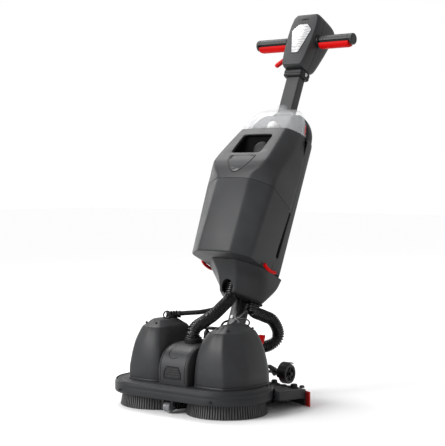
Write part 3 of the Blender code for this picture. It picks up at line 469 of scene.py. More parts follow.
def refined(node, finish, width=0.0012, segments=2, angle=38):
    """The CAD node's own shape with its edges rounded, shown in place of the node."""
    source = frame["nodes"][node]
    body = body_of(source)[0]
    work = bmesh.new()
    work.from_mesh(source.data)
    bmesh.ops.remove_doubles(work, verts=work.verts, dist=0.00001)
    bmesh.ops.dissolve_limit(work, angle_limit=math.radians(1.0), verts=work.verts, edges=work.edges)
    work.transform(source.matrix_world)
    mesh = bpy.data.meshes.new(node + "_finished")
    work.to_mesh(mesh)
    work.free()
    mesh.materials.clear()
    obj = bpy.data.objects.new(node + "_finished", mesh)
    bpy.context.scene.collection.objects.link(obj)
    obj.data.materials.append(finish_material(finish))
    soften(obj, width, segments)
    smooth_again(obj, angle)
    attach(obj, body)
    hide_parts(node)
    return obj


def dress(node, finish):
    """Gives a CAD node a better material where its own shape is right."""
    obj = frame["nodes"][node]
    for place in obj.material_slots:
        place.material = finish_material(finish)


# ---- camera, lights and floor -------------------------------------------------------------------
def make_camera():
    """The camera stands ahead and to the left of the machine, a little above its middle."""
    data = bpy.data.cameras.new("camera")
    data.sensor_width = 36.0
    data.lens = 95.7
    obj = bpy.data.objects.new("camera", data)
    obj.location = (1.9428, -2.6817, 0.6093)
    obj.rotation_euler = (math.radians(90 - 2.28), 0, math.radians(37.29))
    bpy.context.scene.collection.objects.link(obj)
    bpy.context.scene.camera = obj


def area_light(name, place, target, width, height, power):
    data = bpy.data.lights.new(name, "AREA")
    data.shape = "RECTANGLE"
    data.size = width
    data.size_y = height
    data.energy = power
    obj = bpy.data.objects.new(name, data)
    obj.location = place
    obj.rotation_euler = (Vector(target) - Vector(place)).to_track_quat("-Z", "Y").to_euler()
    bpy.context.scene.collection.objects.link(obj)


def make_studio():
    """A pale floor, a soft key from the machine's right front, a rim light and an even fill."""
    floor = bpy.data.meshes.new("floor")
    reach = 14.0
    floor.from_pydata([(-reach, -reach, 0), (reach, -reach, 0), (reach, reach, 0),
                       (-reach, reach, 0)], [], [(0, 1, 2, 3)])
    obj = bpy.data.objects.new("floor", floor)
    obj.location.z = -0.0006
    bpy.context.scene.collection.objects.link(obj)
    pale, _, _, shader = shader_nodes("floor_finish")
    shader.inputs["Base Color"].default_value = (0.93, 0.93, 0.93, 1)
    shader.inputs["Roughness"].default_value = 0.9
    shader.inputs["Specular IOR Level"].default_value = 0.1
    floor.materials.append(pale)
    world = bpy.data.worlds.new("studio")
    world.use_nodes = True
    tree = world.node_tree
    background = tree.nodes["Background"]
    background.inputs["Color"].default_value = (1, 1, 1, 1)
    background.inputs["Strength"].default_value = 0.60
    seen = tree.nodes.new("ShaderNodeBackground")
    seen.inputs["Color"].default_value = (1, 1, 1, 1)
    seen.inputs["Strength"].default_value = 1.0
    path = tree.nodes.new("ShaderNodeLightPath")
    mix = tree.nodes.new("ShaderNodeMixShader")
    tree.links.new(path.outputs["Is Camera Ray"], mix.inputs["Fac"])
    tree.links.new(background.outputs["Background"], mix.inputs[1])
    tree.links.new(seen.outputs["Background"], mix.inputs[2])
    tree.links.new(mix.outputs["Shader"], tree.nodes["World Output"].inputs["Surface"])
    bpy.context.scene.world = world
    sun = bpy.data.lights.new("key", "SUN")
    sun.energy = 2.9
    sun.angle = math.radians(34)
    obj = bpy.data.objects.new("key", sun)
    obj.rotation_euler = Vector((0.42, 0.78, -0.52)).to_track_quat("-Z", "Y").to_euler()
    bpy.context.scene.collection.objects.link(obj)
    area_light("top", (-1.75, 0.55, 3.0), (0, 0.1, 0.75), 1.6, 1.6, 46)
    area_light("rim", (-3.2, 0.6, 1.1), (0, 0, 0.5), 1.0, 2.4, 26)
    bpy.context.scene.view_settings.view_transform = "Standard"


# ---- base: deck and brushes ---------------------------------------------------------------------
DECK_X = 0.2235
DECK_Y = 0.1165
DECK_CUT = 0.110
BUFFER_SCREW = 0.0036  # the radius of a buffer screw, and how far out it stands
BUFFER_SCREW_LEVEL = 0.0475


def deck_ring(offset, z, steps=22):
    """The deck's outline, moved out by offset: a long rounded rectangle of true arcs."""
    radius = DECK_CUT + offset
    made = []
    for sign_x, sign_y, start in ((1, 1, 0), (-1, 1, 90), (-1, -1, 180), (1, -1, 270)):
        for k in range(steps + 1):
            a = math.radians(start + 90 * k / steps)
            made.append(base(sign_x * (DECK_X - DECK_CUT) + radius * math.cos(a),
                             sign_y * (DECK_Y - DECK_CUT) + radius * math.sin(a), z))
    return made


def make_deck():
    rows = [(-0.0300, 0.0655), (-0.0060, 0.0655), (-0.0045, 0.0630), (-0.0042, 0.0450),
            (-0.0036, 0.0432), (-0.0012, 0.0430), (-0.0002, 0.0440), (0, 0.0455), (0, 0.0640),
            (-0.0008, 0.0668), (-0.0030, 0.0686), (-0.0060, 0.0692), (-0.0105, 0.0692),
            (-0.0112, 0.0684), (-0.0124, 0.0684), (-0.0131, 0.0693), (-0.0150, 0.0700)]
    piece("deck_moulding", loft([deck_ring(*row) for row in rows]), "body", "base", ["deck_shell"])
    rim = [(0.0004, 0.0385), (0.0018, 0.0373), (0.0036, 0.0375), (0.0050, 0.0392),
           (0.0055, 0.0420), (0.0055, 0.0545), (0.0050, 0.0554), (0.0050, 0.0562),
           (0.0055, 0.0571), (0.0054, 0.0610), (0.0046, 0.0650), (0.0030, 0.0682),
           (0.0015, 0.0695), (0.0004, 0.0698)]
    rings = [deck_ring(*row) for row in rim]
    piece("buffer", loft(rings, closed=True), "bumper", "base", ["buffer_rim"])
    shapes = []
    for x in (-0.150, -0.075, 0.075, 0.150):
        for way in (-1, 1):
            at = base(x, way * (DECK_Y + BUFFER_SCREW), BUFFER_SCREW_LEVEL)
            shapes.append(screw(at, (0, way, 0), BUFFER_SCREW))
    for side in (1, -1):
        for degrees in (-45, 45):
            a = math.radians(degrees)
            out = Vector((side * math.cos(a), math.sin(a), 0))
            corner = base(side * (DECK_X - DECK_CUT), math.copysign(DECK_Y - DECK_CUT, out.y),
                          BUFFER_SCREW_LEVEL)
            shapes.append(screw(corner + out * (DECK_CUT + BUFFER_SCREW), out, BUFFER_SCREW))
    piece("buffer_screws", merge(*shapes), "black", "base")


BRUSH_LENGTH = 0.034


def make_bristles(side, word):
    """Rows of stiff tufts round the brush ring; the outer rows splay outwards."""
    shapes = []
    centre = Vector((side * BRUSH_X, BRUSH_Y, 0))
    for row, (root, spread) in enumerate(((0.0700, -0.0015), (0.0775, 0.0), (0.0850, 0.0005),
                                          (0.0925, 0.0015), (0.0990, 0.0045))):
        count = round(math.tau * root / 0.0068)
        for i in range(count):
            a = math.tau * (i + 0.5 * (row % 2)) / count
            out = Vector((math.cos(a), math.sin(a), 0))
            round_it = Vector((-math.sin(a), math.cos(a), 0))
            lean = 0.0012 * noise(Vector((i * 0.7, row * 3.1, side * 5.0)))
            rings = []
            for share, size in ((0.0, 0.0021), (0.35, 0.0024), (0.75, 0.0028), (1.0, 0.0030)):
                z = BRUSH_LENGTH * (1 - share)
                middle = centre + out * (root + spread * share**1.5) + round_it * lean * share
                ring = []
                for k in range(8):
                    b = math.tau * k / 8
                    r = size * (1.0 if k % 2 else 0.80)
                    ring.append(middle + r * (math.cos(b) * out + math.sin(b) * round_it)
                                + Vector((0, 0, z)))
                rings.append(ring)
            shapes.append(loft(rings))
    piece(f"{word}_tufts", merge(*shapes), "bristle", f"{word}_brush", [f"{word}_bristles"], 50)
    block = [(0.0346, 0.0225), (0.0346, 0.1040), (0.0352, 0.1048), (0.0440, 0.1048),
             (0.0458, 0.1036), (0.0462, 0.1015), (0.0462, 0.0225)]
    centre = (side * BRUSH_X, BRUSH_Y, 0)
    piece(f"{word}_brush_block", turned(centre, (0, 0, 1), block, 72, True), "black",
          f"{word}_brush", [f"{word}_brush"])


# ---- base: cowls and covers ---------------------------------------------------------------------
COWL = [  # height, inner x, outer x, front y, rear y, outer corner, inner corner
    (0.0705, 0.0505, 0.1915, -0.0755, 0.1155, 0.055, 0.030),
    (0.0900, 0.0507, 0.1914, -0.0752, 0.1152, 0.055, 0.030),
    (0.1050, 0.0512, 0.1908, -0.0745, 0.1145, 0.055, 0.030),
    (0.1400, 0.0535, 0.1850, -0.0705, 0.1105, 0.054, 0.030),
    (0.1700, 0.0595, 0.1775, -0.0635, 0.1035, 0.050, 0.029),
    (0.1950, 0.0685, 0.1680, -0.0530, 0.0940, 0.045, 0.027),
    (0.2070, 0.0745, 0.1620, -0.0460, 0.0870, 0.041, 0.025),
]
COWL_CAP = [  # the sloping cap above the facet edge
    (0.2084, 0.0762, 0.1604, -0.0436, 0.0855, 0.040, 0.024),
    (0.2150, 0.0850, 0.1530, -0.0315, 0.0755, 0.034, 0.020),
    (0.2205, 0.0920, 0.1475, -0.0225, 0.0690, 0.030, 0.018),
    (0.2234, 0.0960, 0.1440, -0.0180, 0.0650, 0.027, 0.016),
    (0.2243, 0.0990, 0.1415, -0.0150, 0.0610, 0.024, 0.013),
]


def cowl_ring(side, row, inset=0.0):
    """A cowl's level section; the flats between its corners are slightly crowned."""
    z, inner, outer, front, rear, round_outer, round_inner = row
    inner, outer, front, rear = inner + inset, outer - inset, front + inset, rear - inset
    corners = [(outer, rear, 0, round_outer), (inner, rear, 90, round_inner),
               (inner, front, 180, round_inner), (outer, front, 270, round_outer)]
    made = []
    for x, y, start, radius in corners:
        radius -= inset
        cx = x - math.copysign(radius, x - (inner + outer) / 2)
        cy = y - math.copysign(radius, y - (front + rear) / 2)
        angles = [math.radians(start + 90 * k / 8) for k in range(9)]
        arc = [Vector((cx + radius * math.cos(a), cy + radius * math.sin(a))) for a in angles]
        if y == front:
            first, last, centre = arc[0], arc[-1], Vector((cx, cy))
            ridge_at = centre + (arc[2 if start == 270 else 4] - centre) * 1.025
            p, q = first.lerp(ridge_at, 0.80), ridge_at.lerp(last, 0.12)
            bend = [p * (1 - t) ** 2 + ridge_at * 2 * t * (1 - t) + q * t**2 for t in (0.2, 0.5, 0.8)]
            bulge = (last - ridge_at).length * 0.045
            rest = []
            for t in (0.32, 0.56, 0.80):
                at = ridge_at.lerp(last, t)
                rest.append(at + (at - centre).normalized() * bulge * 4 * t * (1 - t))
            arc = [first, first.lerp(ridge_at, 0.50), *bend, *rest, last]
        made.append(arc)
    outline = []
    crown = 0.0022
    for i, arc in enumerate(made):
        outline.extend(arc)
        a, b = arc[-1], made[(i + 1) % 4][0]
        out = Vector(((b - a).y, -(b - a).x)).normalized()
        for k in range(1, 6):
            t = k / 6
            outline.append(a.lerp(b, t) + out * crown * (1 - (2 * t - 1) ** 2))
    return [base(side * p.x, p.y, z) for p in outline]


def make_cowl(side, word):
    """A domed motor cowl: a flanged foot, a body and a sloping cap with a lid plate and screws."""
    foot = COWL[0]
    rings = [cowl_ring(side, (z, *foot[1:]), inset) for z, inset in (
        (0.0706, 0.0035), (0.0706, -0.0015), (0.0735, -0.0015), (0.0752, -0.0008), (0.0760, 0.0004),
        (0.0768, 0.0004), (0.0776, -0.0002))]
    rings += [cowl_ring(side, row) for row in rising(COWL[1:], 4)]
    rim = COWL[-1]
    rings += [cowl_ring(side, (z, *rim[1:]), inset) for z, inset in (
        (0.2073, 0.0004), (0.2074, 0.0014), (0.2081, 0.0015))]
    rings += [cowl_ring(side, row) for row in rising(COWL_CAP, 3)]
    top = COWL_CAP[-1]
    rings += [cowl_ring(side, (z, *top[1:]), inset) for z, inset in (
        (0.2243, 0.0030), (0.2238, 0.0036), (0.2238, 0.0044), (0.2244, 0.0050))]
    rings.append(cowl_ring(side, (0.2245, *top[1:]), 0.0100))
    piece(f"{word}_cowl_moulding", loft(rings), "body", "base", [f"{word}_cowl"], 30)
    shapes = []
    for x, y, z in ((0.1030, -0.0265, 0.2178), (0.1370, -0.0265, 0.2175), (0.0860, 0.060, 0.2152),
                    (0.1520, 0.060, 0.2152)):
        slope = Vector((0.5 * math.copysign(1, x - 0.119) * side * (abs(x - 0.119) > 0.03),
                        -0.75 if y < 0 else 0.1, 1))
        shapes.append(screw(base(side * x, y, z), slope, 0.0034))
    piece(f"{word}_cowl_screws", merge(*shapes), "black", "base")


ARCH = [  # the centre cover's fore-and-aft outline, as (y, z)
    (-0.0840, 0.0706), (-0.0846, 0.0900), (-0.0840, 0.1080), (-0.0810, 0.1230), (-0.0760, 0.1360),
    (-0.0680, 0.1480), (-0.0560, 0.1580), (-0.0400, 0.1655), (-0.0200, 0.1700), (0.0080, 0.1714),
    (0.0400, 0.1714), (0.0690, 0.1714),
]


def arch_at(share):
    """The cover's outline point at a share of its length, with its outward normal, in (y, z)."""
    rows = rising(ARCH, 4)
    at = share * (len(rows) - 1)
    i = min(int(at), len(rows) - 2)
    a, b = Vector(rows[i]), Vector(rows[i + 1])
    along = (b - a).normalized()
    return a.lerp(b, at - i), Vector((-along.y, along.x))


def on_cover(x, share, lift):
    """A point on the centre cover, lifted off its surface."""
    at, normal = arch_at(share)
    at = at + normal * lift
    return base(x, at.x, at.y)


def make_centre_cover():
    """The barrel-shaped cover between the cowls, with a threaded cuff, grooves and a vent."""
    half = 0.0488
    steps = 44
    rings = []
    for x, drop in ((-half, 0.006), (-half + 0.0012, 0.0028), (-half + 0.0040, 0.0008),
                    (-half + 0.0090, 0.0), (0, -0.0004), (half - 0.0090, 0.0),
                    (half - 0.0040, 0.0008), (half - 0.0012, 0.0028), (half, 0.006)):
        top = [on_cover(x, k / steps, -drop) for k in range(steps + 1)]
        rings.append(top + [base(x, 0.0690, 0.0706)])
    cover = piece("centre_moulding", loft(rings), "upper", "base", ["centre_cover"])

    for side in (1, -1):
        line = [on_cover(side * 0.0400, k / 60, -0.0006) for k in range(2, 59)]
        carve(cover, swept(line, 0.0011, 6))
    smooth_again(cover, 40)
    curl = curve_through([on_cover(-0.020, 0.63, 0.0), on_cover(-0.024, 0.50, 0.0),
                          on_cover(-0.020, 0.42, 0.0), on_cover(-0.006, 0.375, 0.0),
                          on_cover(0.008, 0.40, 0.0)], 0.003)
    piece("cover_rib", swept(curl, 0.0013, 10), "black", "base")
    shapes = []
    share_low, share_high = 0.075, 0.235
    frame_points = [(-0.019, share_high), (0.019, share_high), (0.027, 0.150), (0.027, share_low),
                    (-0.027, share_low), (-0.027, 0.150)]
    loop = []
    for a, b in zip(frame_points, frame_points[1:] + frame_points[:1]):
        loop += [on_cover(a[0] + (b[0] - a[0]) * k / 6, a[1] + (b[1] - a[1]) * k / 6, 0.0004)
                 for k in range(6)]
    rings = []
    for i, p in enumerate(loop):
        out = base(0, -0.20, 0) - base(0, 0, 0)
        before, after = loop[i - 1], loop[(i + 1) % len(loop)]
        side_way = (after - before).cross(out).normalized()
        normal = out.normalized()
        rings.append([p + side_way * 0.0014 + normal * -0.0006, p + side_way * 0.0010 + normal * 0.0012,
                      p - side_way * 0.0010 + normal * 0.0012, p - side_way * 0.0014 - normal * 0.0006])
    shapes.append(loft(rings, closed=True))
    for k in range(5):
        share = 0.098 + 0.030 * k
        wide = 0.0225 - 0.0012 * max(0, k - 2)
        bar = [on_cover(-wide + 2 * wide * i / 8, share, 0.0003) for i in range(9)]
        shapes.append(swept(bar, 0.0016, 8))
    piece("cover_vent", merge(*shapes), "black", "base")
    cuff = [(0.168, 0.0182), (0.168, 0.0225), (0.1715, 0.0228), (0.1725, 0.0240), (0.1745, 0.0240),
            (0.1755, 0.0226), (0.1770, 0.0226), (0.1780, 0.0236), (0.1800, 0.0236), (0.1810, 0.0222),
            (0.1830, 0.0222), (0.1850, 0.0215), (0.1858, 0.0200), (0.1858, 0.0182)]
    centre = base(0, 0.004, 0)
    piece("cover_cuff", turned(centre, (0, 0, 1), cuff, 40, True), "black", "base")


def make_brackets():
    """Metal fittings between the cowls and the column, and the roller under the front edge."""
    refined("tie_bar", "coated", 0.0015)
    refined("pivot_bracket", "coated", 0.0016)
    refined("roller_bracket", "coated", 0.0010)
    refined("wheel_bracket", "coated", 0.0010)
    refined("cross_block", "coated", 0.0008)
    for side, word in ((1, "left"), (-1, "right")):
        motor = [(0.0792, 0.030), (0.0792, 0.0405), (0.0805, 0.0418), (0.1560, 0.0418),
                 (0.1600, 0.0400), (0.1635, 0.0340), (0.1648, 0.0200), (0.1648, 0.0020)]
        piece(f"{word}_motor_can", turned((side * BRUSH_X, BRUSH_Y, 0), (0, 0, 1), motor, 40),
              "coated", "base", [f"{word}_brush_motor"])
        dress(f"{word}_drive_plate", "steel")
    shapes = []
    for side in (1, -1):
        at = PIVOT + Vector((side * 0.0285, 0, 0))
        shapes.append(turned(at, (side, 0, 0), [(-0.001, 0.0095), (0.0012, 0.0095), (0.0016, 0.0090),
                                                (0.0016, 0.0072), (0.0062, 0.0070),
                                                (0.0068, 0.0060)], 6))
    piece("pivot_nuts", merge(*shapes), "coated", "base", angle=25)
    roller = [(-0.0100, 0.0030), (-0.0100, 0.0118), (-0.0090, 0.0128), (-0.0030, 0.0130),
              (-0.0020, 0.0124), (0.0020, 0.0124), (0.0030, 0.0130), (0.0090, 0.0128),
              (0.0100, 0.0118), (0.0100, 0.0030)]
    hub = JOINTS["front_roller_spin"]["pos_m"]
    axle = [(-0.0165, 0.0005), (-0.0165, 0.0022), (-0.0160, 0.0025), (0.0160, 0.0025),
            (0.0165, 0.0022), (0.0165, 0.0005)]
    piece("front_roller_wheel", merge(turned(hub, (1, 0, 0), roller, 32),
                                      turned(hub, (1, 0, 0), axle, 16)),
          "grey", "front_roller", ["front_roller"])


def make_cowl_fittings():
    """A ring, a cable boot and a small post on the cowls' tops."""
    eye = base(-0.1100, 0.0260, 0.2262)
    across, along = Vector((0.85, 0.35, 0.30)).normalized(), Vector((0.0, -0.25, 0.97)).normalized()
    ring = circle(eye + Vector((0, 0, 0.0085)), 0.0095, across, along, 28)
    normal = across.cross(along).normalized()
    rings = []
    for p in ring:
        out = (p - eye - Vector((0, 0, 0.0085))).normalized()
        rings.append([p + 0.0020 * (math.cos(math.tau * k / 10) * out
                                    + math.sin(math.tau * k / 10) * normal) for k in range(10)])
    piece("lift_ring", loft(rings, closed=True), "coated", "base")
    lug = slab(rounded_rect(-0.009, 0.009, -0.006, 0.006, 0.003), 0.2236, 0.2275,
               lambda x, y, z: base(-0.110 + x, 0.026 + y, z))
    boot_path = curve_through([base(-0.094, 0.0660, 0.2335), base(-0.108, 0.0570, 0.2328),
                               base(-0.118, 0.0500, 0.2320), base(-0.126, 0.0440, 0.2310)], 0.003)
    boot = swept(boot_path, lambda gone, turn: 0.0096 - 0.0018 * math.cos(math.tau * gone / 0.0075)
                 * (gone > 0.008), 24)
    foot = slab(rounded_rect(-0.012, 0.012, -0.010, 0.010, 0.004), 0.2238, 0.2300,
                lambda x, y, z: base(-0.115 + x, 0.050 + y, z))
    piece("cable_boot", merge(boot, lug, foot), "black", "base")
    loop_points = [base(0.088, 0.0550, 0.2215), base(0.092, 0.0720, 0.2290), base(0.104, 0.0790, 0.2335),
                   base(0.124, 0.0740, 0.2330), base(0.144, 0.0560, 0.2290), base(0.1500, 0.0420, 0.2225)]
    piece("cowl_rail", swept(curve_through(loop_points, 0.004), 0.0022, 12), "coated", "base")
    post = [(0.1960, 0.0030), (0.1900, 0.0075), (0.1860, 0.0085), (0.1780, 0.0085), (0.1715, 0.0100)]
    piece("bar_post", turned(base(-0.018, 0.084, 0), (0, 0, 1), post, 20), "black", "base")


# ---- squeegee, wheels and pedal -----------------------------------------------------------------
SQUEEGEE_SWEEP = math.radians(31.0)
SQUEEGEE_RADIUS = 0.2435 / math.sin(SQUEEGEE_SWEEP)
SQUEEGEE_MIDDLE = 0.188 - SQUEEGEE_RADIUS * math.cos(SQUEEGEE_SWEEP)


def on_arc(offset, angle, z):
    """A point on the squeegee's arc, moved out by offset; angle is in radians from the middle."""
    reach = SQUEEGEE_RADIUS + offset
    return base(reach * math.sin(angle), SQUEEGEE_MIDDLE + reach * math.cos(angle), z)


def arc_strip(profile, sweep, steps=60):
    """A strip along the squeegee's arc: profile rows are (offset, z)."""
    rings = []
    for i in range(steps + 1):
        angle = sweep * (2 * i / steps - 1)
        rings.append([on_arc(offset, angle, z) for offset, z in profile])
    return loft(rings)


def make_squeegee():
    refined("squeegee_body", "bumper", 0.0025, 3)
    rear = [(0.0002, 0.0), (0.0028, 0.0), (0.0030, 0.0385), (0.0025, 0.0395), (0.0005, 0.0395),
            (0.0, 0.0385)]
    piece("rear_lip", arc_strip(rear, SQUEEGEE_SWEEP, 80), "blade", "squeegee", ["rear_blade"])
    front = [(-0.0058, 0.0012), (-0.0034, 0.0012), (-0.0032, 0.0288), (-0.0060, 0.0288)]
    piece("front_lip", arc_strip(front, math.radians(29), 80), "rubber", "squeegee", ["front_blade"])
    band = [(0.0033, 0.0180), (0.0052, 0.0186), (0.0056, 0.0196), (0.0056, 0.0300), (0.0052, 0.0310),
            (0.0033, 0.0316)]
    piece("blade_band", arc_strip(band, math.radians(26.5), 70), "black", "squeegee")
    shapes = []
    for k in range(-3, 4):
        angle = math.radians(8.0 * k)
        at = on_arc(0.0054, angle, 0.0248)
        out = Vector((math.sin(angle), math.cos(angle), 0))
        shapes.append(turned(at, out, [(-0.001, 0.0050), (0.0018, 0.0050), (0.0028, 0.0042),
                                       (0.0030, 0.0010)], 14))
    piece("blade_studs", merge(*shapes), "coated", "squeegee")
    ribs = []
    for side in (1, -1):
        for k in range(5):
            angle = side * math.radians(12 + 3.6 * k)
            inner, outer = on_arc(-0.060 + 0.004 * k, angle, 0.0), on_arc(-0.012, angle, 0.0)
            ribs.append(ridge(inner, outer, 0.0030, squeegee_top(inner), squeegee_top(outer), 0.0035))
    for side in (1, -1):
        for reach, angle, size in ((-0.030, 27.2, 0.0125), (-0.022, 14.0, 0.0110)):
            at = on_arc(reach, side * math.radians(angle), 0)
            at.z = squeegee_top(at) - 0.0008
            profile = [(0, size), (0.003, size), (0.004, size * 0.80), (0.010, size * 0.74),
                       (0.0120, size * 0.62), (0.0128, size * 0.30), (0.0129, 0.0004)]
            ribs.append(turned(at, (0, 0, 1), profile, 9))
    piece("squeegee_fittings", merge(*ribs), "black", "squeegee", angle=30)
    port = [(0.0430, 0.0180), (0.0430, 0.0228), (0.0860, 0.0228), (0.0868, 0.0240), (0.0888, 0.0240),
            (0.0896, 0.0226), (0.0912, 0.0226), (0.0920, 0.0236), (0.0940, 0.0236), (0.0950, 0.0222),
            (0.0992, 0.0218), (0.1002, 0.0206), (0.1002, 0.0182)]
    piece("suction_cuff", turned(base(0, 0.222, 0), (0, 0, 1), port, 40, True), "black", "squeegee")
    for side, word in ((1, "left"), (-1, "right")):
        hub = JOINTS[f"{word}_corner_roller_spin"]["pos_m"]
        drum = [(0.0, 0.0032), (0.0, 0.0064), (0.0006, 0.0070), (0.0034, 0.0070), (0.0042, 0.0064),
                (0.0056, 0.0056), (0.0060, 0.0048), (0.0060, 0.0032)]
        piece(f"{word}_corner_bumper", turned(hub, (0, 0, 1), drum, 28, True), "black",
              f"{word}_corner_roller", [f"{word}_corner_roller"])


def squeegee_top(at):
    """The squeegee moulding's top level over a point, from the CAD node's own slope."""
    return 0.050 - 0.10 * (at.y - BRUSH_Y - 0.150)


def ridge(start, end, width, low, high, tall):
    """A low rib with a rounded crest between two points, standing on levels low and high."""
    along = (end - start).normalized()
    side = Vector((-along.y, along.x, 0)).normalized()
    rings = []
    for share, rise in ((0.0, 0.15), (0.06, 0.8), (0.15, 1.0), (0.85, 1.0), (0.94, 0.8), (1.0, 0.15)):
        p = start.lerp(end, share)
        z = low + (high - low) * share
        half = width / 2
        rows = [(-half, -0.001), (-half, tall * 0.6 * rise), (-half * 0.6, tall * 0.95 * rise),
                (0, tall * rise), (half * 0.6, tall * 0.95 * rise), (half, tall * 0.6 * rise),
                (half, -0.001)]
        rings.append([Vector((p.x, p.y, 0)) + side * a + Vector((0, 0, z + b)) for a, b in rows])
    return loft(rings)


def make_wheels():
    """Each transport wheel has a ribbed tyre, a dished hub with five openings and an axle cap."""
    for side, word in ((1, "left"), (-1, "right")):
        hub = Vector(JOINTS[f"{word}_wheel_spin"]["pos_m"])
        out = Vector((1, 0, 0))
        tyre = [(-0.0100, 0.0195), (-0.0116, 0.0215), (-0.0119, 0.0245), (-0.0108, 0.0268),
                (-0.0080, 0.0279), (-0.0058, 0.0280), (-0.0052, 0.0270), (-0.0040, 0.0270),
                (-0.0034, 0.0280), (-0.0008, 0.0280), (-0.0004, 0.0270), (0.0004, 0.0270),
                (0.0008, 0.0280), (0.0034, 0.0280), (0.0040, 0.0270), (0.0052, 0.0270),
                (0.0058, 0.0280), (0.0080, 0.0279), (0.0108, 0.0268), (0.0119, 0.0245),
                (0.0116, 0.0215), (0.0100, 0.0195)]
        piece(f"{word}_tyre", turned(hub, out, tyre, 48, True), "rubber", f"{word}_wheel",
              [f"{word}_wheel"])
        disc = [(-0.0085, 0.0048), (-0.0100, 0.0085), (-0.0060, 0.0105), (-0.0050, 0.0165),
                (-0.0095, 0.0190), (-0.0095, 0.0198), (0.0095, 0.0198), (0.0095, 0.0190),
                (0.0050, 0.0165), (0.0060, 0.0105), (0.0100, 0.0085), (0.0085, 0.0048)]
        shapes = [turned(hub, out, disc, 40, True)]
        for k in range(5):
            a = math.tau * k / 5
            spoke = Vector((0, math.cos(a), math.sin(a)))
            across = out.cross(spoke)
            rings = []
            for reach, half in ((0.0085, 0.0022), (0.0130, 0.0018), (0.0188, 0.0026)):
                rings.append([hub + spoke * reach + across * s * half + out * t * 0.0085
                              for s, t in ((-1, -1), (1, -1), (1, 1), (-1, 1))])
            shapes.append(loft(rings))
        piece(f"{word}_hub", merge(*shapes), "black", f"{word}_wheel")
        cap = [(0.0120, 0.0060), (0.0150, 0.0060), (0.0160, 0.0050), (0.0162, 0.0005)]
        outward = Vector((side, 0, 0))
        piece(f"{word}_axle_cap", turned(hub, outward, cap, 20), "black", "base")
        rings = []
        for k in range(15):
            a = math.radians(-15 + 135 * k / 14)
            spoke = Vector((0, -math.cos(a), math.sin(a)))
            fade = 0.0 if 0 < k < 14 else 0.0012
            rings.append([hub + Vector((x, 0, 0)) + spoke * r for x, r in (
                (-0.0138 + fade, 0.0298), (0.0138 - fade, 0.0298), (0.0142 - fade, 0.0306),
                (0.0128 - fade, 0.0322 - fade), (-0.0128 + fade, 0.0322 - fade),
                (-0.0142 + fade, 0.0306))])
        piece(f"{word}_wheel_guard", loft(rings), "black", "base")


def make_pedal():
    refined("foot_pedal", "red", 0.0018, 3)
    shapes = []
    hinge = Vector(JOINTS["foot_pedal_press"]["pos_m"])
    for k in range(4):
        at = hinge + Vector((0, 0.0665 + 0.0028 * k, 0.0715))
        bar = [at + Vector((x, 0, 0)) for x in (-0.0080, -0.004, 0, 0.004, 0.0080)]
        shapes.append(swept(bar, 0.0011, 8))
    piece("pedal_grips", merge(*shapes), "red", "foot_pedal")


# ---- column: neck and lower housing -------------------------------------------------------------
HOUSING = [  # up, half width, rear, shoulder, nose half width, nose front
    (0.1250, 0.0560, -0.0430, -0.0160, 0.0230, 0.0580),
    (0.1460, 0.0710, -0.0490, -0.0120, 0.0260, 0.0640),
    (0.1750, 0.0860, -0.0560, 0.0100, 0.0300, 0.0800),
    (0.2035, 0.0950, -0.0550, 0.0460, 0.0380, 0.1080),
]


def housing_ring(row, inset=0.0, level=None):
    up, half, rear, shoulder, nose, front = row
    half, nose, front, rear = half - inset, nose - inset * 0.7, front - inset, rear + inset
    side = [(half, rear), (half, shoulder), ((half + nose) / 2 + 0.004, (shoulder + front) / 2),
            (nose + 0.002, front)]
    cuts = [0.018, 0.016, 0.010, 0.006]
    return [col(p.x, p.y, up if level is None else level)
            for p in fillet(mirrored(side), cuts + cuts[::-1], 5)]


def make_housing():
    """The tapered housing, with holes for the neck, the hoses and the cable, and its trims."""
    low = HOUSING[0]
    rows = rising(HOUSING, 4)
    rings = [housing_ring(low, 0.0075, 0.1250), housing_ring(low, 0.0030, 0.1252),
             housing_ring(low, 0.0008, 0.1264), *[housing_ring(row) for row in rows[1:]]]
    inner = [housing_ring(row, 0.0035) for row in rows[4:]]
    floor = housing_ring(low, 0.0045, 0.1290)
    housing = piece("housing_moulding", loft([floor, *inner, *reversed(rings)]), "body", "column",
                    ["lower_housing"])
    for x, ahead, radius in ((0, 0.038, 0.0190), (0.0375, -0.030, 0.0190), (-0.030, -0.004, 0.0085)):
        tool = swept([col(x, ahead, up) for up in (0.10, 0.12, 0.14)], radius, 32)
        carve(housing, tool)
    carve(housing, swept([col(0, 0.030, 0.1330), col(0, 0.070, 0.1400), col(0, 0.110, 0.1470)],
                         0.0190, 32))
    slot = [(-0.0125, -0.026), (0.0125, -0.026), (0.0125, 0.026), (-0.0125, 0.026)]
    carve(housing, loft([[col(x, a, up) for x, a in slot] for up in (0.11, 0.14)]))
    smooth_again(housing, 34)
    radius = 0.0186
    profile = [(0.1305, radius - 0.0014), (0.1232, radius - 0.0014), (0.1226, radius - 0.0004),
               (0.1226, radius + 0.0022), (0.1236, radius + 0.0032), (0.1254, radius + 0.0034)]
    piece("hose_collars", turned(col(0.0375, -0.030, 0), UP, profile, 36, True), "black", "column")


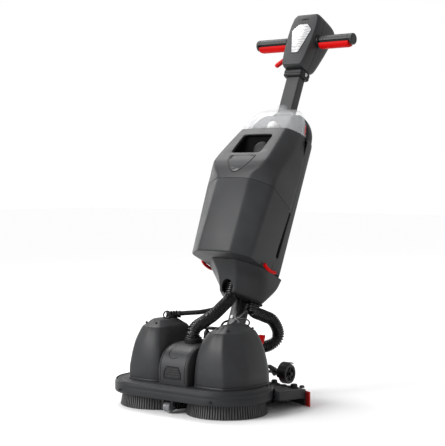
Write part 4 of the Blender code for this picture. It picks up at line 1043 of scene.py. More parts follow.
def make_neck():
    refined("neck_post", "coated", 0.0015, 3)
    for name, at, out in (("front", col(0, 0.0056, 0.0), AHEAD), ("rear", col(0, -0.0456, 0.0), -AHEAD)):
        nut = [(-0.0008, 0.0105), (0.0010, 0.0105), (0.0014, 0.0090), (0.0060, 0.0088),
               (0.0068, 0.0074)]
        piece(f"swing_nut_{name}", turned(at, out, nut, 6), "coated", "column", angle=25)
    clip = slab(rounded_rect(-0.0045, 0.0045, 0.066, 0.076, 0.0025), 0.0056, 0.0090,
                lambda x, up, a: col(x, a, up))
    piece("lead_clip", clip, "white", "column")
    hook = curve_through([col(-0.013, 0.002, 0.060), col(-0.020, 0.010, 0.052),
                          col(-0.020, 0.016, 0.038), col(-0.013, 0.012, 0.030)], 0.003)
    piece("neck_hook", swept(hook, 0.0030, 12), "black", "column")


# ---- column: covers behind the tanks ------------------------------------------------------------
def column_half(up):
    """The column widens slowly upwards."""
    return 0.101 + 0.065 * (up - 0.215)


TROUGH = [  # the rear cover, from its front edge to its back: ahead, widest half width
    (0.0194, 0.1135), (-0.0050, 0.1090), (-0.0220, 0.1005), (-0.0400, 0.0870), (-0.0515, 0.0740),
]
TUBE_HOLE = rounded_rect(-0.0243, 0.0243, -0.0158, 0.0158, 0.004, 3)  # lets the handle tube through


def trough_ring(ahead, inset, widest):
    made = []
    for unit, up in rounded_rect(-1, 1, 0.2065 + inset, 0.600 - inset, 0.012, 4):
        half = min(column_half(up) - 0.0008, widest) - inset
        made.append(col(max(-half, min(half, unit * half)), ahead, up))
    return made


COLUMN_BACK = -0.0515  # how far ahead the rear cover's flat back stands


def on_back(x, up, rise):
    """A point off the rear cover's flat back."""
    return col(x, COLUMN_BACK - rise, up)


def on_flank(side, ahead, up, rise):
    """A point off the rear cover's side, near its front edge."""
    return col(side * (column_half(up) - 0.0008 + rise), ahead, up)


def make_rear_cover():
    """The trough that holds the battery and motors, with vents, a battery door and a socket."""
    rows = rising(TROUGH, 4)
    outer = [trough_ring(a, 0.0, w) for a, w in rows[:-1]]
    outer += [trough_ring(a, i, 0.0740 + i * 0.6) for a, i in ((-0.0495, 0.0006), (-0.0508, 0.0016),
                                                             (-0.0514, 0.0030), (-0.0515, 0.0046))]
    inner = [trough_ring(a, 0.0035, w) for a, w in
             ((-0.0480, 0.0780), (-0.0300, 0.0960), (-0.0040, 0.1090), (0.0194, 0.1135))]
    cover = piece("rear_moulding", loft([*inner, *outer]), "body", "column", ["rear_cover"])
    carve(cover, loft([[col(p.x, p.y, up) for p in TUBE_HOLE] for up in (0.58, 0.62)]))
    cuts = []
    for k in range(6):
        up = 0.440 + 0.016 * k
        bar = rounded_rect(-0.045, 0.045, up, up + 0.006, 0.0029, 4)
        cuts.append(loft([[on_back(p.x, p.y, rise) for p in bar] for rise in (-0.0022, 0.004)]))
    for side in (1, -1):
        slot = rounded_rect(0.0045, 0.0178, 0.246, 0.382, 0.0050, 5)
        cuts.append(loft([[on_flank(side, p.x, p.y, rise) for p in slot]
                          for rise in (-0.0060, 0.004)]))
    carve(cover, merge(*cuts))
    smooth_again(cover, 32)
    # painted shade: near-black sheets set deep in the flank slots, so that the slots read as dark hollows
    slot_shade_plates = []
    for side in (1, -1):
        lip = rounded_rect(0.0050, 0.0173, 0.2465, 0.3815, 0.0048, 4)
        slot_shade_plates.append(slab(lip, -0.0058, -0.0044, lambda a, up, rise, s=side: on_flank(s, a, up, rise),
                           0.0004))
    piece("flank_slot_shades", merge(*slot_shade_plates), "cavity", "column")
    door = rounded_rect(-0.0600, 0.0600, 0.236, 0.402, 0.010, 6)
    piece("battery_door", slab(door, -0.0006, 0.0016, on_back, 0.0012), "body", "column")
    pull = rounded_rect(-0.0220, 0.0220, 0.372, 0.388, 0.007, 6)
    piece("door_pull", slab(pull, 0.0010, 0.0046, on_back, 0.0012), "black", "column")
    cap = [(-0.001, 0.0130), (0.0022, 0.0130), (0.0030, 0.0122), (0.0032, 0.0080), (0.0050, 0.0074),
           (0.0054, 0.0060), (0.0055, 0.0004)]
    piece("socket_cap", turned(on_back(0.050, 0.566, 0), -AHEAD, cap, 28), "black", "column")
    screws = [screw(on_back(x, up, 0.0), -AHEAD, 0.0036)
              for x in (-0.064, 0.064) for up in (0.222, 0.418)]
    piece("rear_screws", merge(*screws), "black", "column")


MOTOR_ROWS = [  # the cover over the motor: up, half width, rear
    (0.6008, 0.1060, -0.0440), (0.6280, 0.1030, -0.0420), (0.6520, 0.0930, -0.0390),
    (0.6700, 0.0775, -0.0350), (0.6800, 0.0615, -0.0310),
]


def motor_ring(row, inset=0.0, level=None):
    up, half, rear = row
    half, rear, face = half - inset, rear + inset, 0.0194 - inset * 0.55
    side = [(half - 0.030, rear), (half - 0.006, rear + 0.022), (half, face - 0.018), (half, face)]
    cuts = [0.020, 0.018, 0.012, 0.003]
    return [col(p.x, p.y, up if level is None else level)
            for p in fillet(mirrored(side), cuts + cuts[::-1], 5)]


def make_motor_cover():
    rows = rising(MOTOR_ROWS, 5)
    foot, top = MOTOR_ROWS[0], MOTOR_ROWS[-1]
    outer = [motor_ring(foot, 0.0006, 0.6008), motor_ring(foot, 0.0, 0.6016)]
    outer += [motor_ring(row) for row in rows[1:]]
    outer += [motor_ring(top, i, z) for i, z in ((0.0040, 0.6814), (0.0080, 0.6818))]
    inner = [motor_ring(top, 0.006, 0.6770), *[motor_ring(row, 0.003) for row in
                                               reversed(MOTOR_ROWS[:-1])]]
    cover = piece("motor_dome", loft([*inner, *outer]), "black", "column", ["motor_cover"])
    carve(cover, loft([[col(p.x, p.y, up) for p in TUBE_HOLE] for up in (0.66, 0.70)]))
    smooth_again(cover, 36)

    def cuff(grow, up):
        return [col(p.x, p.y, up) for p in rounded_rect(-0.0245 - grow, 0.0245 + grow,
                                                        -0.0160 - grow, 0.0160 + grow, 0.006, 5)]
    rings = [cuff(0, 0.6790), cuff(0.0065, 0.6800), cuff(0.0068, 0.6830), cuff(0.0055, 0.6845),
             cuff(0.0040, 0.6850), cuff(0.0038, 0.6885), cuff(0.0028, 0.6900), cuff(0, 0.6900)]
    piece("tube_gaiter", loft(rings, closed=True), "rubber", "column")


def make_column_contents():
    refined("battery_pack", "coated", 0.0020, 2)
    refined("tube_sleeve", "black", 0.0008)
    motor = [(0.420, 0.0020), (0.420, 0.0240), (0.4215, 0.0258), (0.4700, 0.0260), (0.4705, 0.0252),
             (0.4745, 0.0252), (0.4750, 0.0260), (0.5280, 0.0260), (0.5300, 0.0244), (0.5300, 0.0020)]
    piece("vacuum_can", turned(col(0.0540, -0.014, 0), UP, motor, 40, True), "steel", "column",
          ["vacuum_motor"])
    pump = [(0.420, 0.0020), (0.420, 0.0204), (0.4212, 0.0218), (0.4500, 0.0220), (0.4504, 0.0206),
            (0.4545, 0.0206), (0.4549, 0.0220), (0.4885, 0.0220), (0.4900, 0.0206), (0.4900, 0.0020)]
    piece("pump_can", turned(col(-0.050, -0.015, 0), UP, pump, 36, True), "coated", "column",
          ["solution_pump"])


# ---- tanks and lid ------------------------------------------------------------------------------
TANK_REAR, TANK_FRONT, TANK_CHAMFER, TANK_PANEL = 0.0200, 0.1600, 0.1250, 0.0535
SLOPE_CROWN, PANEL_CROWN = 0.0022, 0.0026  # how far the tanks' flats swell
FLOAT_AHEAD = 0.045
RECOVERY = [  # the upper tank: up, half width, panel half width, front, chamfer
    (0.4190, 0.1131, 0.0535, 0.1600, 0.1250), (0.4300, 0.1140, 0.0560, 0.1600, 0.1235),
    (0.4410, 0.1150, 0.0640, 0.1595, 0.1215), (0.4520, 0.1165, 0.0760, 0.1580, 0.1190),
    (0.4660, 0.1172, 0.0850, 0.1545, 0.1145), (0.4860, 0.1175, 0.0900, 0.1470, 0.1060),
    (0.5420, 0.1140, 0.0850, 0.1190, 0.0760), (0.6070, 0.1020, 0.0770, 0.0850, 0.0450),
]
RECOVERY_ROWS = rising(RECOVERY, 4)


def seam_up(ahead):
    """The joint between the tanks rises forward."""
    return 0.419 + 0.245 * (ahead - TANK_FRONT)


def tank_ring(row, inset, level):
    """A tank section with rounded corners; level(ahead) gives its height."""
    half, panel, front, chamfer = row
    half, panel, front = half - inset, panel - inset * 0.4, front - inset
    chamfer, rear = chamfer - inset, TANK_REAR + inset
    out = Vector((front - chamfer, half - panel)).normalized()
    slope = [(half + (panel - half) * t + out.x * SLOPE_CROWN * t * (1 - t) * 4,
              chamfer + (front - chamfer) * t + out.y * SLOPE_CROWN * t * (1 - t) * 4)
             for t in (0.30, 0.50, 0.70)]
    face = [(panel * t, front + PANEL_CROWN * (1 - t * t)) for t in (0.8, 0.55, 0.28)]
    side = [(half, rear), (half, chamfer), *slope, (panel, front), *face]
    cuts = [0.004, 0.012, 0, 0, 0, 0.007, 0, 0, 0]
    outline = side + [(0, front + PANEL_CROWN)] + [(-x, a) for x, a in reversed(side)]
    return [col(p.x, p.y, level(p.y)) for p in fillet(outline, cuts + [0] + cuts[::-1], 5)]


def front_at(up):
    """How far ahead the upper tank's sloping front stands at a height."""
    for a, b in zip(RECOVERY_ROWS, RECOVERY_ROWS[1:]):
        if up <= b[0]:
            return a[3] + (b[3] - a[3]) * (up - a[0]) / (b[0] - a[0])
    return RECOVERY_ROWS[-1][3]


def on_face(x, up, rise):
    """A point off the upper tank's crowned front panel."""
    for a, b in zip(RECOVERY_ROWS, RECOVERY_ROWS[1:]):
        if up <= b[0]:
            panel = a[2] + (b[2] - a[2]) * (up - a[0]) / (b[0] - a[0])
            break
    return col(x, front_at(up) + PANEL_CROWN * (1 - min(1.0, abs(x) / panel) ** 2) + rise, up)


def make_clean_tank():
    def ring(up, inset):
        return tank_ring((column_half(up), TANK_PANEL, TANK_FRONT, TANK_CHAMFER), inset,
                         lambda a: up)

    def brim(inset, drop):
        return tank_ring((0.1131, TANK_PANEL, TANK_FRONT, TANK_CHAMFER), inset,
                         lambda a: seam_up(a) - drop)
    rings = [ring(0.2115, 0.0034), ring(0.2140, 0.0030), brim(0.0030, 0.0006), brim(0.0024, 0.0),
             brim(0.0012, 0.0), brim(0.0003, 0.0004), brim(0.0, 0.0014), ring(0.2085, 0.0),
             ring(0.2066, 0.0006), ring(0.2053, 0.0016), ring(0.2046, 0.0030), ring(0.2045, 0.0046)]
    piece("clean_tank_moulding", loft(rings), "body", "clean_tank", ["clean_tank"], 30)
    drain = [(0, 0.0085), (0.0016, 0.0085), (0.0024, 0.0078), (0.0026, 0.0004)]
    piece("drain_plug", turned(col(0.0, 0.080, 0.2048), -UP, drain, 9), "black", "clean_tank",
          angle=25)


def make_recovery_tank():
    """The upper tank: a flared shoulder, a hand pocket, a thumb recess and a rim."""
    def low(inset, rise):
        return tank_ring(RECOVERY[0][1:], inset, lambda a: seam_up(a) + rise)

    def ring(row, inset=0.0, level=None):
        return tank_ring(row[1:], inset, lambda a: row[0] if level is None else level)
    wall = 0.0030
    inner = [low(wall, wall + 0.0004), *[ring(row, wall) for row in RECOVERY_ROWS[4:]]]
    outer = [low(0.0010, 0.0004), low(0.0002, 0.0008), low(0.0, 0.0018)]
    outer += [ring(row) for row in RECOVERY_ROWS[4:-1]]
    top = RECOVERY_ROWS[-1]
    rim = [ring(top, 0.0, 0.6058), ring(top, 0.0006, 0.6068), ring(top, 0.0012, 0.6070),
           ring(top, 0.0024, 0.6070)]
    tank = piece("recovery_moulding", loft([*inner, *reversed([*outer, *rim])]), "upper",
                 "recovery_tank", ["recovery_tank"])

    def pocket(grow, rows):
        made = []
        for ahead, inset in rows:
            outline = rounded_rect(-0.049 - grow + inset, 0.049 + grow - inset, 0.508 - grow + inset,
                                   0.580 + grow - inset, 0.012, 5)
            made.append([col(p.x, ahead, p.y) if ahead < 0.1 else on_face(p.x, p.y, ahead - 1)
                         for p in outline])
        return loft(made)
    carve(tank, pocket(0.003, [(0.0830, 0.0), (0.9955, 0.0)]), join=True)
    carve(tank, pocket(0.0, [(0.0860, 0.0070), (0.0868, 0.0030), (0.0888, 0.0008), (0.0920, 0.0),
                             (0.9960, 0.0), (0.9982, -0.0006), (0.9998, -0.0020), (1.0030, -0.0060)]))
    smooth_again(tank, 30)

    def level_ring(ahead, inset):
        return [col(p.x, ahead, p.y) for p in rounded_rect(
            -0.049 + inset, 0.049 - inset, 0.508 + inset, 0.580 - inset, 0.012, 5)]
    # painted shade: a near-black sheet lining the hand pocket, darkening it where it lies in shade
    pocket_shade_rings = [level_ring(*row) for row in (
        (0.0864, 0.0085), (0.0872, 0.0036), (0.0892, 0.0012), (0.0925, 0.0004))]
    pocket_shade_rings.append([col(p.x, front_at(p.y) - 0.0052, p.y) for p in rounded_rect(
        -0.0486, 0.0486, 0.5084, 0.5796, 0.012, 5)])
    pocket_shade_rings.append([col(p.x, front_at(p.y) - 0.0052, p.y) for p in rounded_rect(
        -0.0478, 0.0478, 0.5092, 0.5788, 0.012, 5)])
    pocket_shade_rings += [level_ring(*row) for row in (
        (0.0935, 0.0014), (0.0900, 0.0022), (0.0882, 0.0046), (0.0874, 0.0090))]
    piece("pocket_shade_sheet", loft(pocket_shade_rings), "cavity", "recovery_tank")
    half = [(0.044, 0.497), (0.040, 0.475), (0.022, 0.450), (0.006, 0.437)]
    outline = fillet(mirrored(half),
                     [0.004, 0.008, 0.010, 0.006] + [0.006, 0.010, 0.008, 0.004], 5)
    middle = Vector((0, 0.474))

    def level_at(p, grow, rise):
        at = middle + (Vector(p) - middle) * grow
        return on_face(at.x, at.y, rise)
    plate = loft([[level_at(p, grow, rise) for p in outline]
                  for grow, rise in ((0.985, -0.0008), (0.985, 0.0006), (0.975, 0.0010),
                                     (0.945, 0.0010), (0.915, 0.0002))])
    piece("thumb_plate", plate, "upper", "recovery_tank")
    # painted shade: a near-black ring round the thumb plate, darkening the recess edge where it is in shade
    groove_shade = loft([[level_at(p, g, r) for g, r in ((0.990, -0.0006), (0.990, 0.0004), (1.012, 0.0004),
                                                 (1.018, -0.0006))] for p in outline], closed=True)
    piece("thumb_groove_shade", groove_shade, "cavity", "recovery_tank")
    knob = [(-0.002, 0.0270), (0.0040, 0.0270), (0.0072, 0.0258), (0.0094, 0.0225), (0.0106, 0.0160),
            (0.0108, 0.0004)]
    piece("pocket_boss", turned(col(0.014, 0.0862, 0.5370), AHEAD, knob, 36), "black",
          "recovery_tank")
    baffle = [ring(top, inset, up) for inset, up in ((0.0034, 0.5960), (0.0034, 0.5988),
                                                     (0.0046, 0.5998), (0.012, 0.5998))]
    deck = piece("tank_baffle", loft(baffle), "inside", "recovery_tank")
    holes = [turned(col(x, a, 0.58), UP, [(0, r), (0.05, r)], 24)
             for x, a, r in ((0.048, 0.052, 0.0135), (-0.048, 0.052, 0.0135))]
    carve(deck, merge(*holes))
    smooth_again(deck, 34)
    seat = [(0.5990, 0.0120), (0.5990, 0.0200), (0.6010, 0.0205), (0.6025, 0.0190), (0.6195, 0.0180),
            (0.6208, 0.0170), (0.6208, 0.0135), (0.6060, 0.0125)]
    piece("float_seat", turned(col(0, FLOAT_AHEAD, 0), UP, seat, 32, True), "inside", "recovery_tank")


def make_lid():
    """The clear dome with its outlet block and clips, and the float under it."""
    rows = [(0.6074, 0.1020, 0.0770, 0.085, 0.045), (0.630, 0.0980, 0.0740, 0.075, 0.046),
            (0.660, 0.0880, 0.0660, 0.060, 0.042), (0.680, 0.0760, 0.0560, 0.048, 0.036),
            (0.690, 0.0640, 0.0460, 0.038, 0.030)]

    def ring(row, inset=0.0, level=None):
        return tank_ring((row[1], row[2], row[3], min(row[4], row[3] - 0.006)), inset,
                         lambda a: row[0] if level is None else level)
    fine = rising(rows, 4)
    outer = [ring(rows[0], 0.0008, 0.6074), ring(rows[0], 0.0, 0.6080), ring(rows[0], 0.0, 0.6120),
             ring(rows[0], 0.0016, 0.6128)]
    outer += [ring(row, 0.0004) for row in fine[2:-1]]
    top = rows[-1]
    outer += [ring(top, 0.0, 0.6892), ring(top, 0.0030, 0.6898), ring(top, 0.0070, 0.6900)]
    inner = [ring(top, 0.0060, 0.6876), *[ring(row, 0.0025) for row in reversed(fine[:-2:2])]]
    piece("lid_dome", loft([*inner, *outer]), "clear", "lid", ["clear_lid"], 34)
    block = slab(rounded_rect(-0.014, 0.014, 0.022, 0.037, 0.004, 5), 0.6890, 0.7060,
                 col, 0.0022)
    piece("lid_outlet", block, "clear", "lid")
    shapes, lines = [], []
    for side in (1, -1):
        def clip(rise, side=side):
            made = []
            for a, up in fillet([(0.023, 0.6085), (0.040, 0.6085), (0.037, 0.655), (0.028, 0.672),
                                 (0.023, 0.672)], 0.003, 4):
                half = 0.102 - 0.0040 * (up - 0.6074) / 0.0226 if up < 0.63 else \
                    0.098 - (up - 0.63) * 0.333 if up < 0.66 else 0.088 - (up - 0.66) * 0.60
                made.append(col(side * (half + rise), a, up))
            return made
        shapes.append(loft([clip(-0.0008), clip(0.0012), clip(0.0018)]))
        line = [col(side * (0.1025 - 0.18 * (up - 0.608)), 0.0262, up)
                for up in (0.612, 0.622, 0.632, 0.642)]
        lines.append(swept([p + Vector((side * 0.0004, 0, 0)) for p in line], 0.0011, 8))
    piece("lid_clips", merge(*shapes), "clear", "lid")
    piece("lid_gasket_tabs", merge(*lines), "blade", "lid")
    dome = [(0.6220, 0.0006), (0.6220, 0.0120), (0.6235, 0.0140), (0.6260, 0.0160), (0.6290, 0.0169),
            (0.6320, 0.0170), (0.6365, 0.0160), (0.6405, 0.0138), (0.6440, 0.0105), (0.6465, 0.0060),
            (0.6474, 0.0020), (0.6475, 0.0004)]
    piece("float_dome", turned(col(0, FLOAT_AHEAD, 0), UP, dome, 36), "white", "float", ["float_ball"])


def make_latches():
    for side, word in ((1, "left"), (-1, "right")):
        route = [col(side * 0.106, a, up) for a, up in ((0.066, 0.2095), (0.054, 0.2045),
                                                        (0.038, 0.2020), (0.020, 0.2025),
                                                        (0.006, 0.2060))]
        path = curve_through(route, 0.0012)
        total = sum((b - a).length for a, b in zip(path, path[1:]))

        def radius(gone, turn, total=total):
            end = min(gone, total - gone)
            return 0.0045 * (1 - max(0.0, 1 - end / 0.0024) ** 2) ** 0.5 + 0.0001
        piece(f"{word}_bail", swept(path, radius, 18), "red", f"{word}_latch", [f"{word}_latch"])


# ---- handle -------------------------------------------------------------------------------------
HEAD_HALF = [(0.036, 1.015), (0.045, 1.004), (0.049, 0.975), (0.0485, 0.935), (0.045, 0.890),
             (0.0405, 0.855), (0.0370, 0.840), (0.032, 0.833)]
BAR_UP = 0.931


def head_front(up):
    return 0.0265 + 0.085 * (1.0 - up)


def head_back(up):
    return -0.077 + 0.31 * (0.985 - up)


def head_outline(inset):
    cuts = [0.004, 0.005, 0.010, 0.014, 0.014, 0.008, 0.004, 0.003]
    middle = 0.93
    return [(p.x * (1 - inset / 0.048), middle + (p.y - middle) * (1 - inset / 0.09))
            for p in fillet(mirrored(HEAD_HALF), cuts + cuts[::-1], 4)]


def make_head():
    """Two shells that meet at the handlebar, a badge, a control panel and two buttons."""
    for name, surface, sign, node in (("head_front", head_front, 1, "head_front_shell"),
                                      ("head_rear", head_back, -1, "head_rear_shell")):
        def ring(inset, share, wall=0.0, surface=surface, sign=sign):
            return [col(x, sign * 0.0003 + share * (surface(up) - wall), up)
                    for x, up in head_outline(inset)]
        wall = sign * 0.003
        insets = (0.0018, 0.0032, 0.0043, 0.0052, 0.0060) if sign > 0 else \
            (0.0022, 0.0040, 0.0058, 0.0074, 0.0088)
        rings = [ring(0.010, 1.0, wall), ring(0.0040, 0.70), ring(0.003, 0.0), ring(0.0007, 0.0),
                 ring(0.0001, 0.02), ring(0.0, 0.05), ring(0.0002, 0.40), ring(0.0009, 0.64)]
        rings += [ring(i, share) for i, share in zip(insets, (0.80, 0.905, 0.965, 0.993, 1.0))]
        shell = piece(f"{name}_moulding", loft(rings), "upper", "handle", [node])
        bar = turned(col(0, 0, BAR_UP), (1, 0, 0), [(-0.08, 0.0112), (0.08, 0.0112)], 28)
        tube = rounded_rect(-0.0242, 0.0242, -0.0157, 0.0157, 0.004, 3)
        carve(shell, bar)
        carve(shell, loft([[col(p.x, p.y, up) for p in tube] for up in (0.80, 0.905)]))
        if sign > 0:
            slit = rounded_rect(-0.0125, 0.0125, 0.9915, 0.9955, 0.0019, 4)
            carve(shell, loft([[col(p.x, head_front(p.y) + rise, p.y) for p in slit]
                               for rise in (-0.0018, 0.004)]))
        smooth_again(shell, 32)
    half = [(0.0150, 0.9750), (0.0335, 0.9545), (0.0105, 0.8775)]
    outline = fillet(mirrored(half), [0.002, 0.004, 0.003, 0.003, 0.004, 0.002], 4)
    shield = slab(outline, 0.0007, 0.0022, lambda x, up, r: col(x, head_front(up) + r, up), 0.0005)
    piece("badge", shield, "badge", "handle", ["badge_plate"])
    rings = []
    for x, up in outline:
        p = Vector((x, up))
        out = (p - Vector((0, 0.936))).normalized()
        rings.append([col(p.x + out.x * g, head_front(p.y + out.y * g) + r, p.y + out.y * g)
                      for g, r in ((0.0003, 0.0002), (0.0003, 0.0012), (0.0014, 0.0012),
                                   (0.0022, 0.0002))])
    piece("badge_frame", loft(rings, closed=True), "black", "handle")
    collars = []
    for side in (1, -1):
        boss = [(0.0455, 0.0115), (0.0455, 0.0195), (0.0525, 0.0195), (0.0540, 0.0188),
                (0.0550, 0.0170), (0.0552, 0.0115)]
        collars.append(turned(col(0, 0, BAR_UP), (side, 0, 0), boss, 36, True))
    piece("bar_collars", merge(*collars), "black", "handle")
    panel = rounded_rect(-0.030, 0.030, 0.900, 0.975, 0.006, 5)
    plate = slab(panel, 0.0006, 0.0036, lambda x, up, r: col(x, head_back(up) - r, up), 0.0009)
    plate = piece("panel", plate, "black", "handle", ["control_panel"])
    out = Vector(JOINTS["power_button_press"]["axis"]) * -1
    for name, x, finish in (("power", -0.014, "red"), ("water", 0.014, "grey")):
        centre = col(x, head_back(0.952), 0.952)
        carve(plate, turned(centre, out, [(-0.01, 0.0085), (0.01, 0.0085)], 28))
        cap = [(0.0026, 0.0004), (0.0026, 0.0076), (0.0056, 0.0078), (0.0064, 0.0070),
               (0.0060, 0.0050), (0.0056, 0.0004)]
        piece(f"{name}_cap", turned(centre, out, cap, 28), finish, f"{name}_button",
              [f"{name}_button"])
    smooth_again(plate, 34)
    bars = [swept([col(-0.018 + 0.006 * k, head_back(up) - 0.0036, up) for k in range(7)], 0.0009, 8)
            for up in (0.912, 0.918, 0.924)]
    piece("panel_ribs", merge(*bars), "grey", "handle")


def make_tube():
    def ring(inset, up):
        return [col(p.x, p.y, up) for p in rounded_rect(-0.0235 + inset, 0.0235 - inset,
                                                        -0.015 + inset, 0.015 - inset, 0.0045, 6)]
    rings = [ring(0.0004, 0.52), ring(0, 0.5204), ring(0, 0.8996), ring(0.0004, 0.90),
             ring(0.002, 0.90), ring(0.002, 0.52)]
    piece("tube", loft(rings, closed=True), "tube", "handle", ["handle_tube"])

    def collar(grow, up):
        return [col(p.x, p.y, up) for p in rounded_rect(-0.024 - grow, 0.024 + grow,
                                                        -0.0155 - grow, 0.0155 + grow, 0.006, 6)]
    rings = [collar(0, 0.8090), collar(0.0052, 0.8090), collar(0.0066, 0.8104), collar(0.0078, 0.8140),
             collar(0.0080, 0.8165), collar(0.0072, 0.8176), collar(0.0072, 0.8200),
             collar(0.0080, 0.8211), collar(0.0080, 0.8280), collar(0.0070, 0.8312),
             collar(0.0058, 0.8325), collar(0, 0.8325)]
    piece("collar", loft(rings, closed=True), "black", "handle", ["clamp_collar"])
    pin = [(0.0, 0.0060), (0.0016, 0.0060), (0.0024, 0.0052), (0.0026, 0.0030), (0.0040, 0.0028),
           (0.0046, 0.0020), (0.0047, 0.0003)]
    pins = [turned(col(side * 0.0316, 0.0, 0.8220), (side, 0, 0), pin, 20) for side in (1, -1)]
    piece("collar_pins", merge(*pins), "steel", "handle")


def make_grips():
    centre = col(0, 0, BAR_UP)
    refined("handlebar", "coated", 0.0006)
    for side, word in ((1, "left"), (-1, "right")):
        rings = []
        for x, outer in ((0.0560, 0.0158), (0.0564, 0.0164), (0.0574, 0.0168), (0.0700, 0.0168),
                         (0.0705, 0.0163), (0.0725, 0.0163), (0.0730, 0.0168), (0.1100, 0.0168),
                         (0.1530, 0.0168), (0.1535, 0.0163), (0.1555, 0.0163), (0.1560, 0.0168),
                         (0.1606, 0.0168)):
            angles = [math.radians(4 + 172 * k / 22) for k in range(23)]
            rings.append([centre + Vector((side * x, r * math.cos(a), r * math.sin(a)))
                          for r, some in ((outer, angles), (0.0110, angles[::-1])) for a in some])
        cap = [(0.1600, 0.0110), (0.1598, 0.0162), (0.1606, 0.0168), (0.1650, 0.0168),
               (0.1664, 0.0164), (0.1674, 0.0153), (0.1680, 0.0132), (0.1680, 0.0100),
               (0.1674, 0.0094), (0.1672, 0.0004)]
        inner = [(0.1636, 0.0004), (0.1636, 0.0110)]
        shape = merge(loft(rings), turned(centre, (side, 0, 0), inner + cap, 40))
        piece(f"{word}_grip_moulding", shape, "upper", "handle", [f"{word}_grip"])
        lips = [(-0.0165, -0.0050), (-0.0180, -0.0130), (-0.0135, -0.0225), (0.0040, -0.0240),
                (0.0130, -0.0180), (0.0165, -0.0050), (0.0165, -0.0012), (0.0135, -0.0012),
                (0.0120, -0.0080), (0.0, -0.0155), (-0.0115, -0.0085), (-0.0125, -0.0050)]
        smooth = fillet(lips, [0.0008, 0.005, 0.006, 0.007, 0.006, 0.0030, 0.0008, 0.0008, 0.003,
                               0.005, 0.002, 0.0006], 4)
        rings = []
        for x, shrink in ((0.0575, 0.90), (0.0580, 0.925), (0.0612, 0.975), (0.0640, 1.0),
                          (0.1490, 1.0), (0.1522, 0.975), (0.1555, 0.925), (0.1560, 0.90)):
            rings.append([centre + Vector((side * x, p.x, (p.y - 0.004) * shrink + 0.004
                                           if p.y < -0.012 else p.y)) for p in smooth])
        piece(f"{word}_trigger_moulding", loft(rings), "red", f"{word}_trigger",
              [f"{word}_trigger"], 34)
    outline = fillet([(-0.0085, 0.004), (-0.0085, -0.004), (-0.032, -0.022), (-0.038, -0.020),
                      (-0.037, -0.013), (-0.014, 0.005)],
                     [0.001, 0.003, 0.003, 0.002, 0.003, 0.004], 4)
    lever = slab(outline, -0.005, 0.005, lambda x, z, a: col(-0.0385 + x, 0.012 + a, 0.868 + z),
                 0.0012)
    piece("height_lever_moulding", lever, "red", "height_lever", ["height_lever"])


# ---- hoses and cables ---------------------------------------------------------------------------
def ribbed(radius, depth, pitch):
    """The radius of a corrugated hose: a rib that winds round it."""
    def at(gone, turn):
        wave = math.sin(math.tau * (gone / pitch + turn))
        return radius - depth / 2 + depth / 2 * math.tanh(2.2 * wave)
    return at


HOSE_SHAPE = ribbed(0.0172, 0.0038, 0.0054)  # the radius, depth and pitch of both big hoses


def bent(name, route, radius, finish, splits, spans, node, spacing, sides):
    """A hose between joints: divided where it is wholly on one body, and bent across each joint."""
    path = curve_through(route, spacing)
    rings = swept_rings(path, radius, sides)
    ends = [0]
    for point in splits:
        ends.append(min(range(len(path)), key=lambda i: (path[i] - Vector(point)).length))
    ends.append(len(path) - 1)
    for k, (a, b, start, end) in enumerate(spans):
        part = piece(f"{name}_{k + 1}", loft(rings[ends[k]:ends[k + 1] + 1]), finish, None,
                     [node] if k == 0 else [])
        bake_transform(part, a, b, start, end)


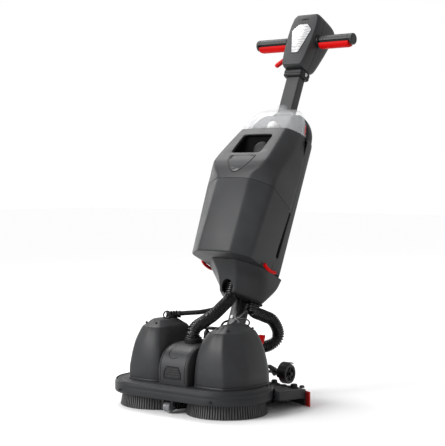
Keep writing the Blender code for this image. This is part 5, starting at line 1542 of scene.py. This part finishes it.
def make_hoses():
    water = [base(0, 0.004, 0.1860), base(0, 0.004, 0.2000), base(0, 0.018, 0.212),
             base(0, 0.050, 0.222), base(0, 0.092, 0.236), base(0, 0.132, 0.256),
             col(0, 0.038, 0.112), col(0, 0.038, 0.138), col(0, 0.038, 0.172)]
    bent("water_hose", water, HOSE_SHAPE, "hose", [base(0, 0.124, 0.2515)],
         [("base", "cross", base(0, 0.078, 0.2310), base(0, 0.121, 0.2500)),
          ("cross", "column", base(0, 0.127, 0.2530), col(0, 0.038, 0.106))],
         "front_hose", 0.0007, 30)
    suction = [base(0, 0.222, 0.1000), base(0, 0.222, 0.116), base(0.012, 0.246, 0.128),
               base(0.036, 0.292, 0.132), base(0.053, 0.313, 0.150), base(0.057, 0.311, 0.176),
               base(0.050, 0.293, 0.206), base(0.043, 0.262, 0.220), col(0.0375, -0.030, 0.105),
               col(0.0375, -0.030, 0.138)]
    bent("suction_hose", suction, HOSE_SHAPE, "hose",
         [base(0.040, 0.297, 0.136), base(0.0475, 0.280, 0.2130)],
         [("squeegee", "base", base(0, 0.222, 0.106), base(0.030, 0.282, 0.130)),
          ("base", "cross", base(0.056, 0.311, 0.1700), base(0.048, 0.282, 0.2120)),
          ("cross", "column", base(0.047, 0.278, 0.2140), base(0.0385, 0.226, 0.2360))],
         "rear_hose", 0.0007, 30)
    cable = [base(-0.122, 0.050, 0.2325), base(-0.090, 0.084, 0.2350), base(-0.062, 0.120, 0.2370),
             base(-0.040, 0.166, 0.244), col(-0.030, -0.004, 0.104), col(-0.030, -0.004, 0.138)]
    bent("brush_cable", cable, 0.0065, "rubber", [base(-0.052, 0.141, 0.2400)],
         [("base", "cross", base(-0.078, 0.098, 0.2358), base(-0.053, 0.138, 0.2395)),
          ("cross", "column", base(-0.049, 0.148, 0.2410), col(-0.030, -0.004, 0.108))],
         "motor_cable", 0.0020, 20)
    lead = [base(0.108, 0.058, 0.2280), base(0.050, 0.124, 0.228), base(0.024, 0.172, 0.224),
            base(0.0175, 0.214, 0.238), col(0.0172, -0.034, 0.1240)]
    bent("thin_lead", lead, 0.0025, "grey", [base(0.040, 0.140, 0.2270)],
         [("base", "cross", base(0.100, 0.067, 0.228), base(0.048, 0.127, 0.228)),
          ("cross", "column", base(0.034, 0.154, 0.2256), base(0.0176, 0.214, 0.238))],
         "grey_lead", 0.0020, 14)


# ---- the whole scene ----------------------------------------------------------------------------
make_camera()
make_studio()
make_deck()
for a_side, a_word in ((1, "left"), (-1, "right")):
    make_bristles(a_side, a_word)
    make_cowl(a_side, a_word)
make_centre_cover()
make_brackets()
make_cowl_fittings()
make_squeegee()
make_wheels()
make_pedal()
make_neck()
make_housing()
make_rear_cover()
make_motor_cover()
make_column_contents()
make_clean_tank()
make_recovery_tank()
make_lid()
make_latches()
make_tube()
make_head()
make_grips()
make_hoses()
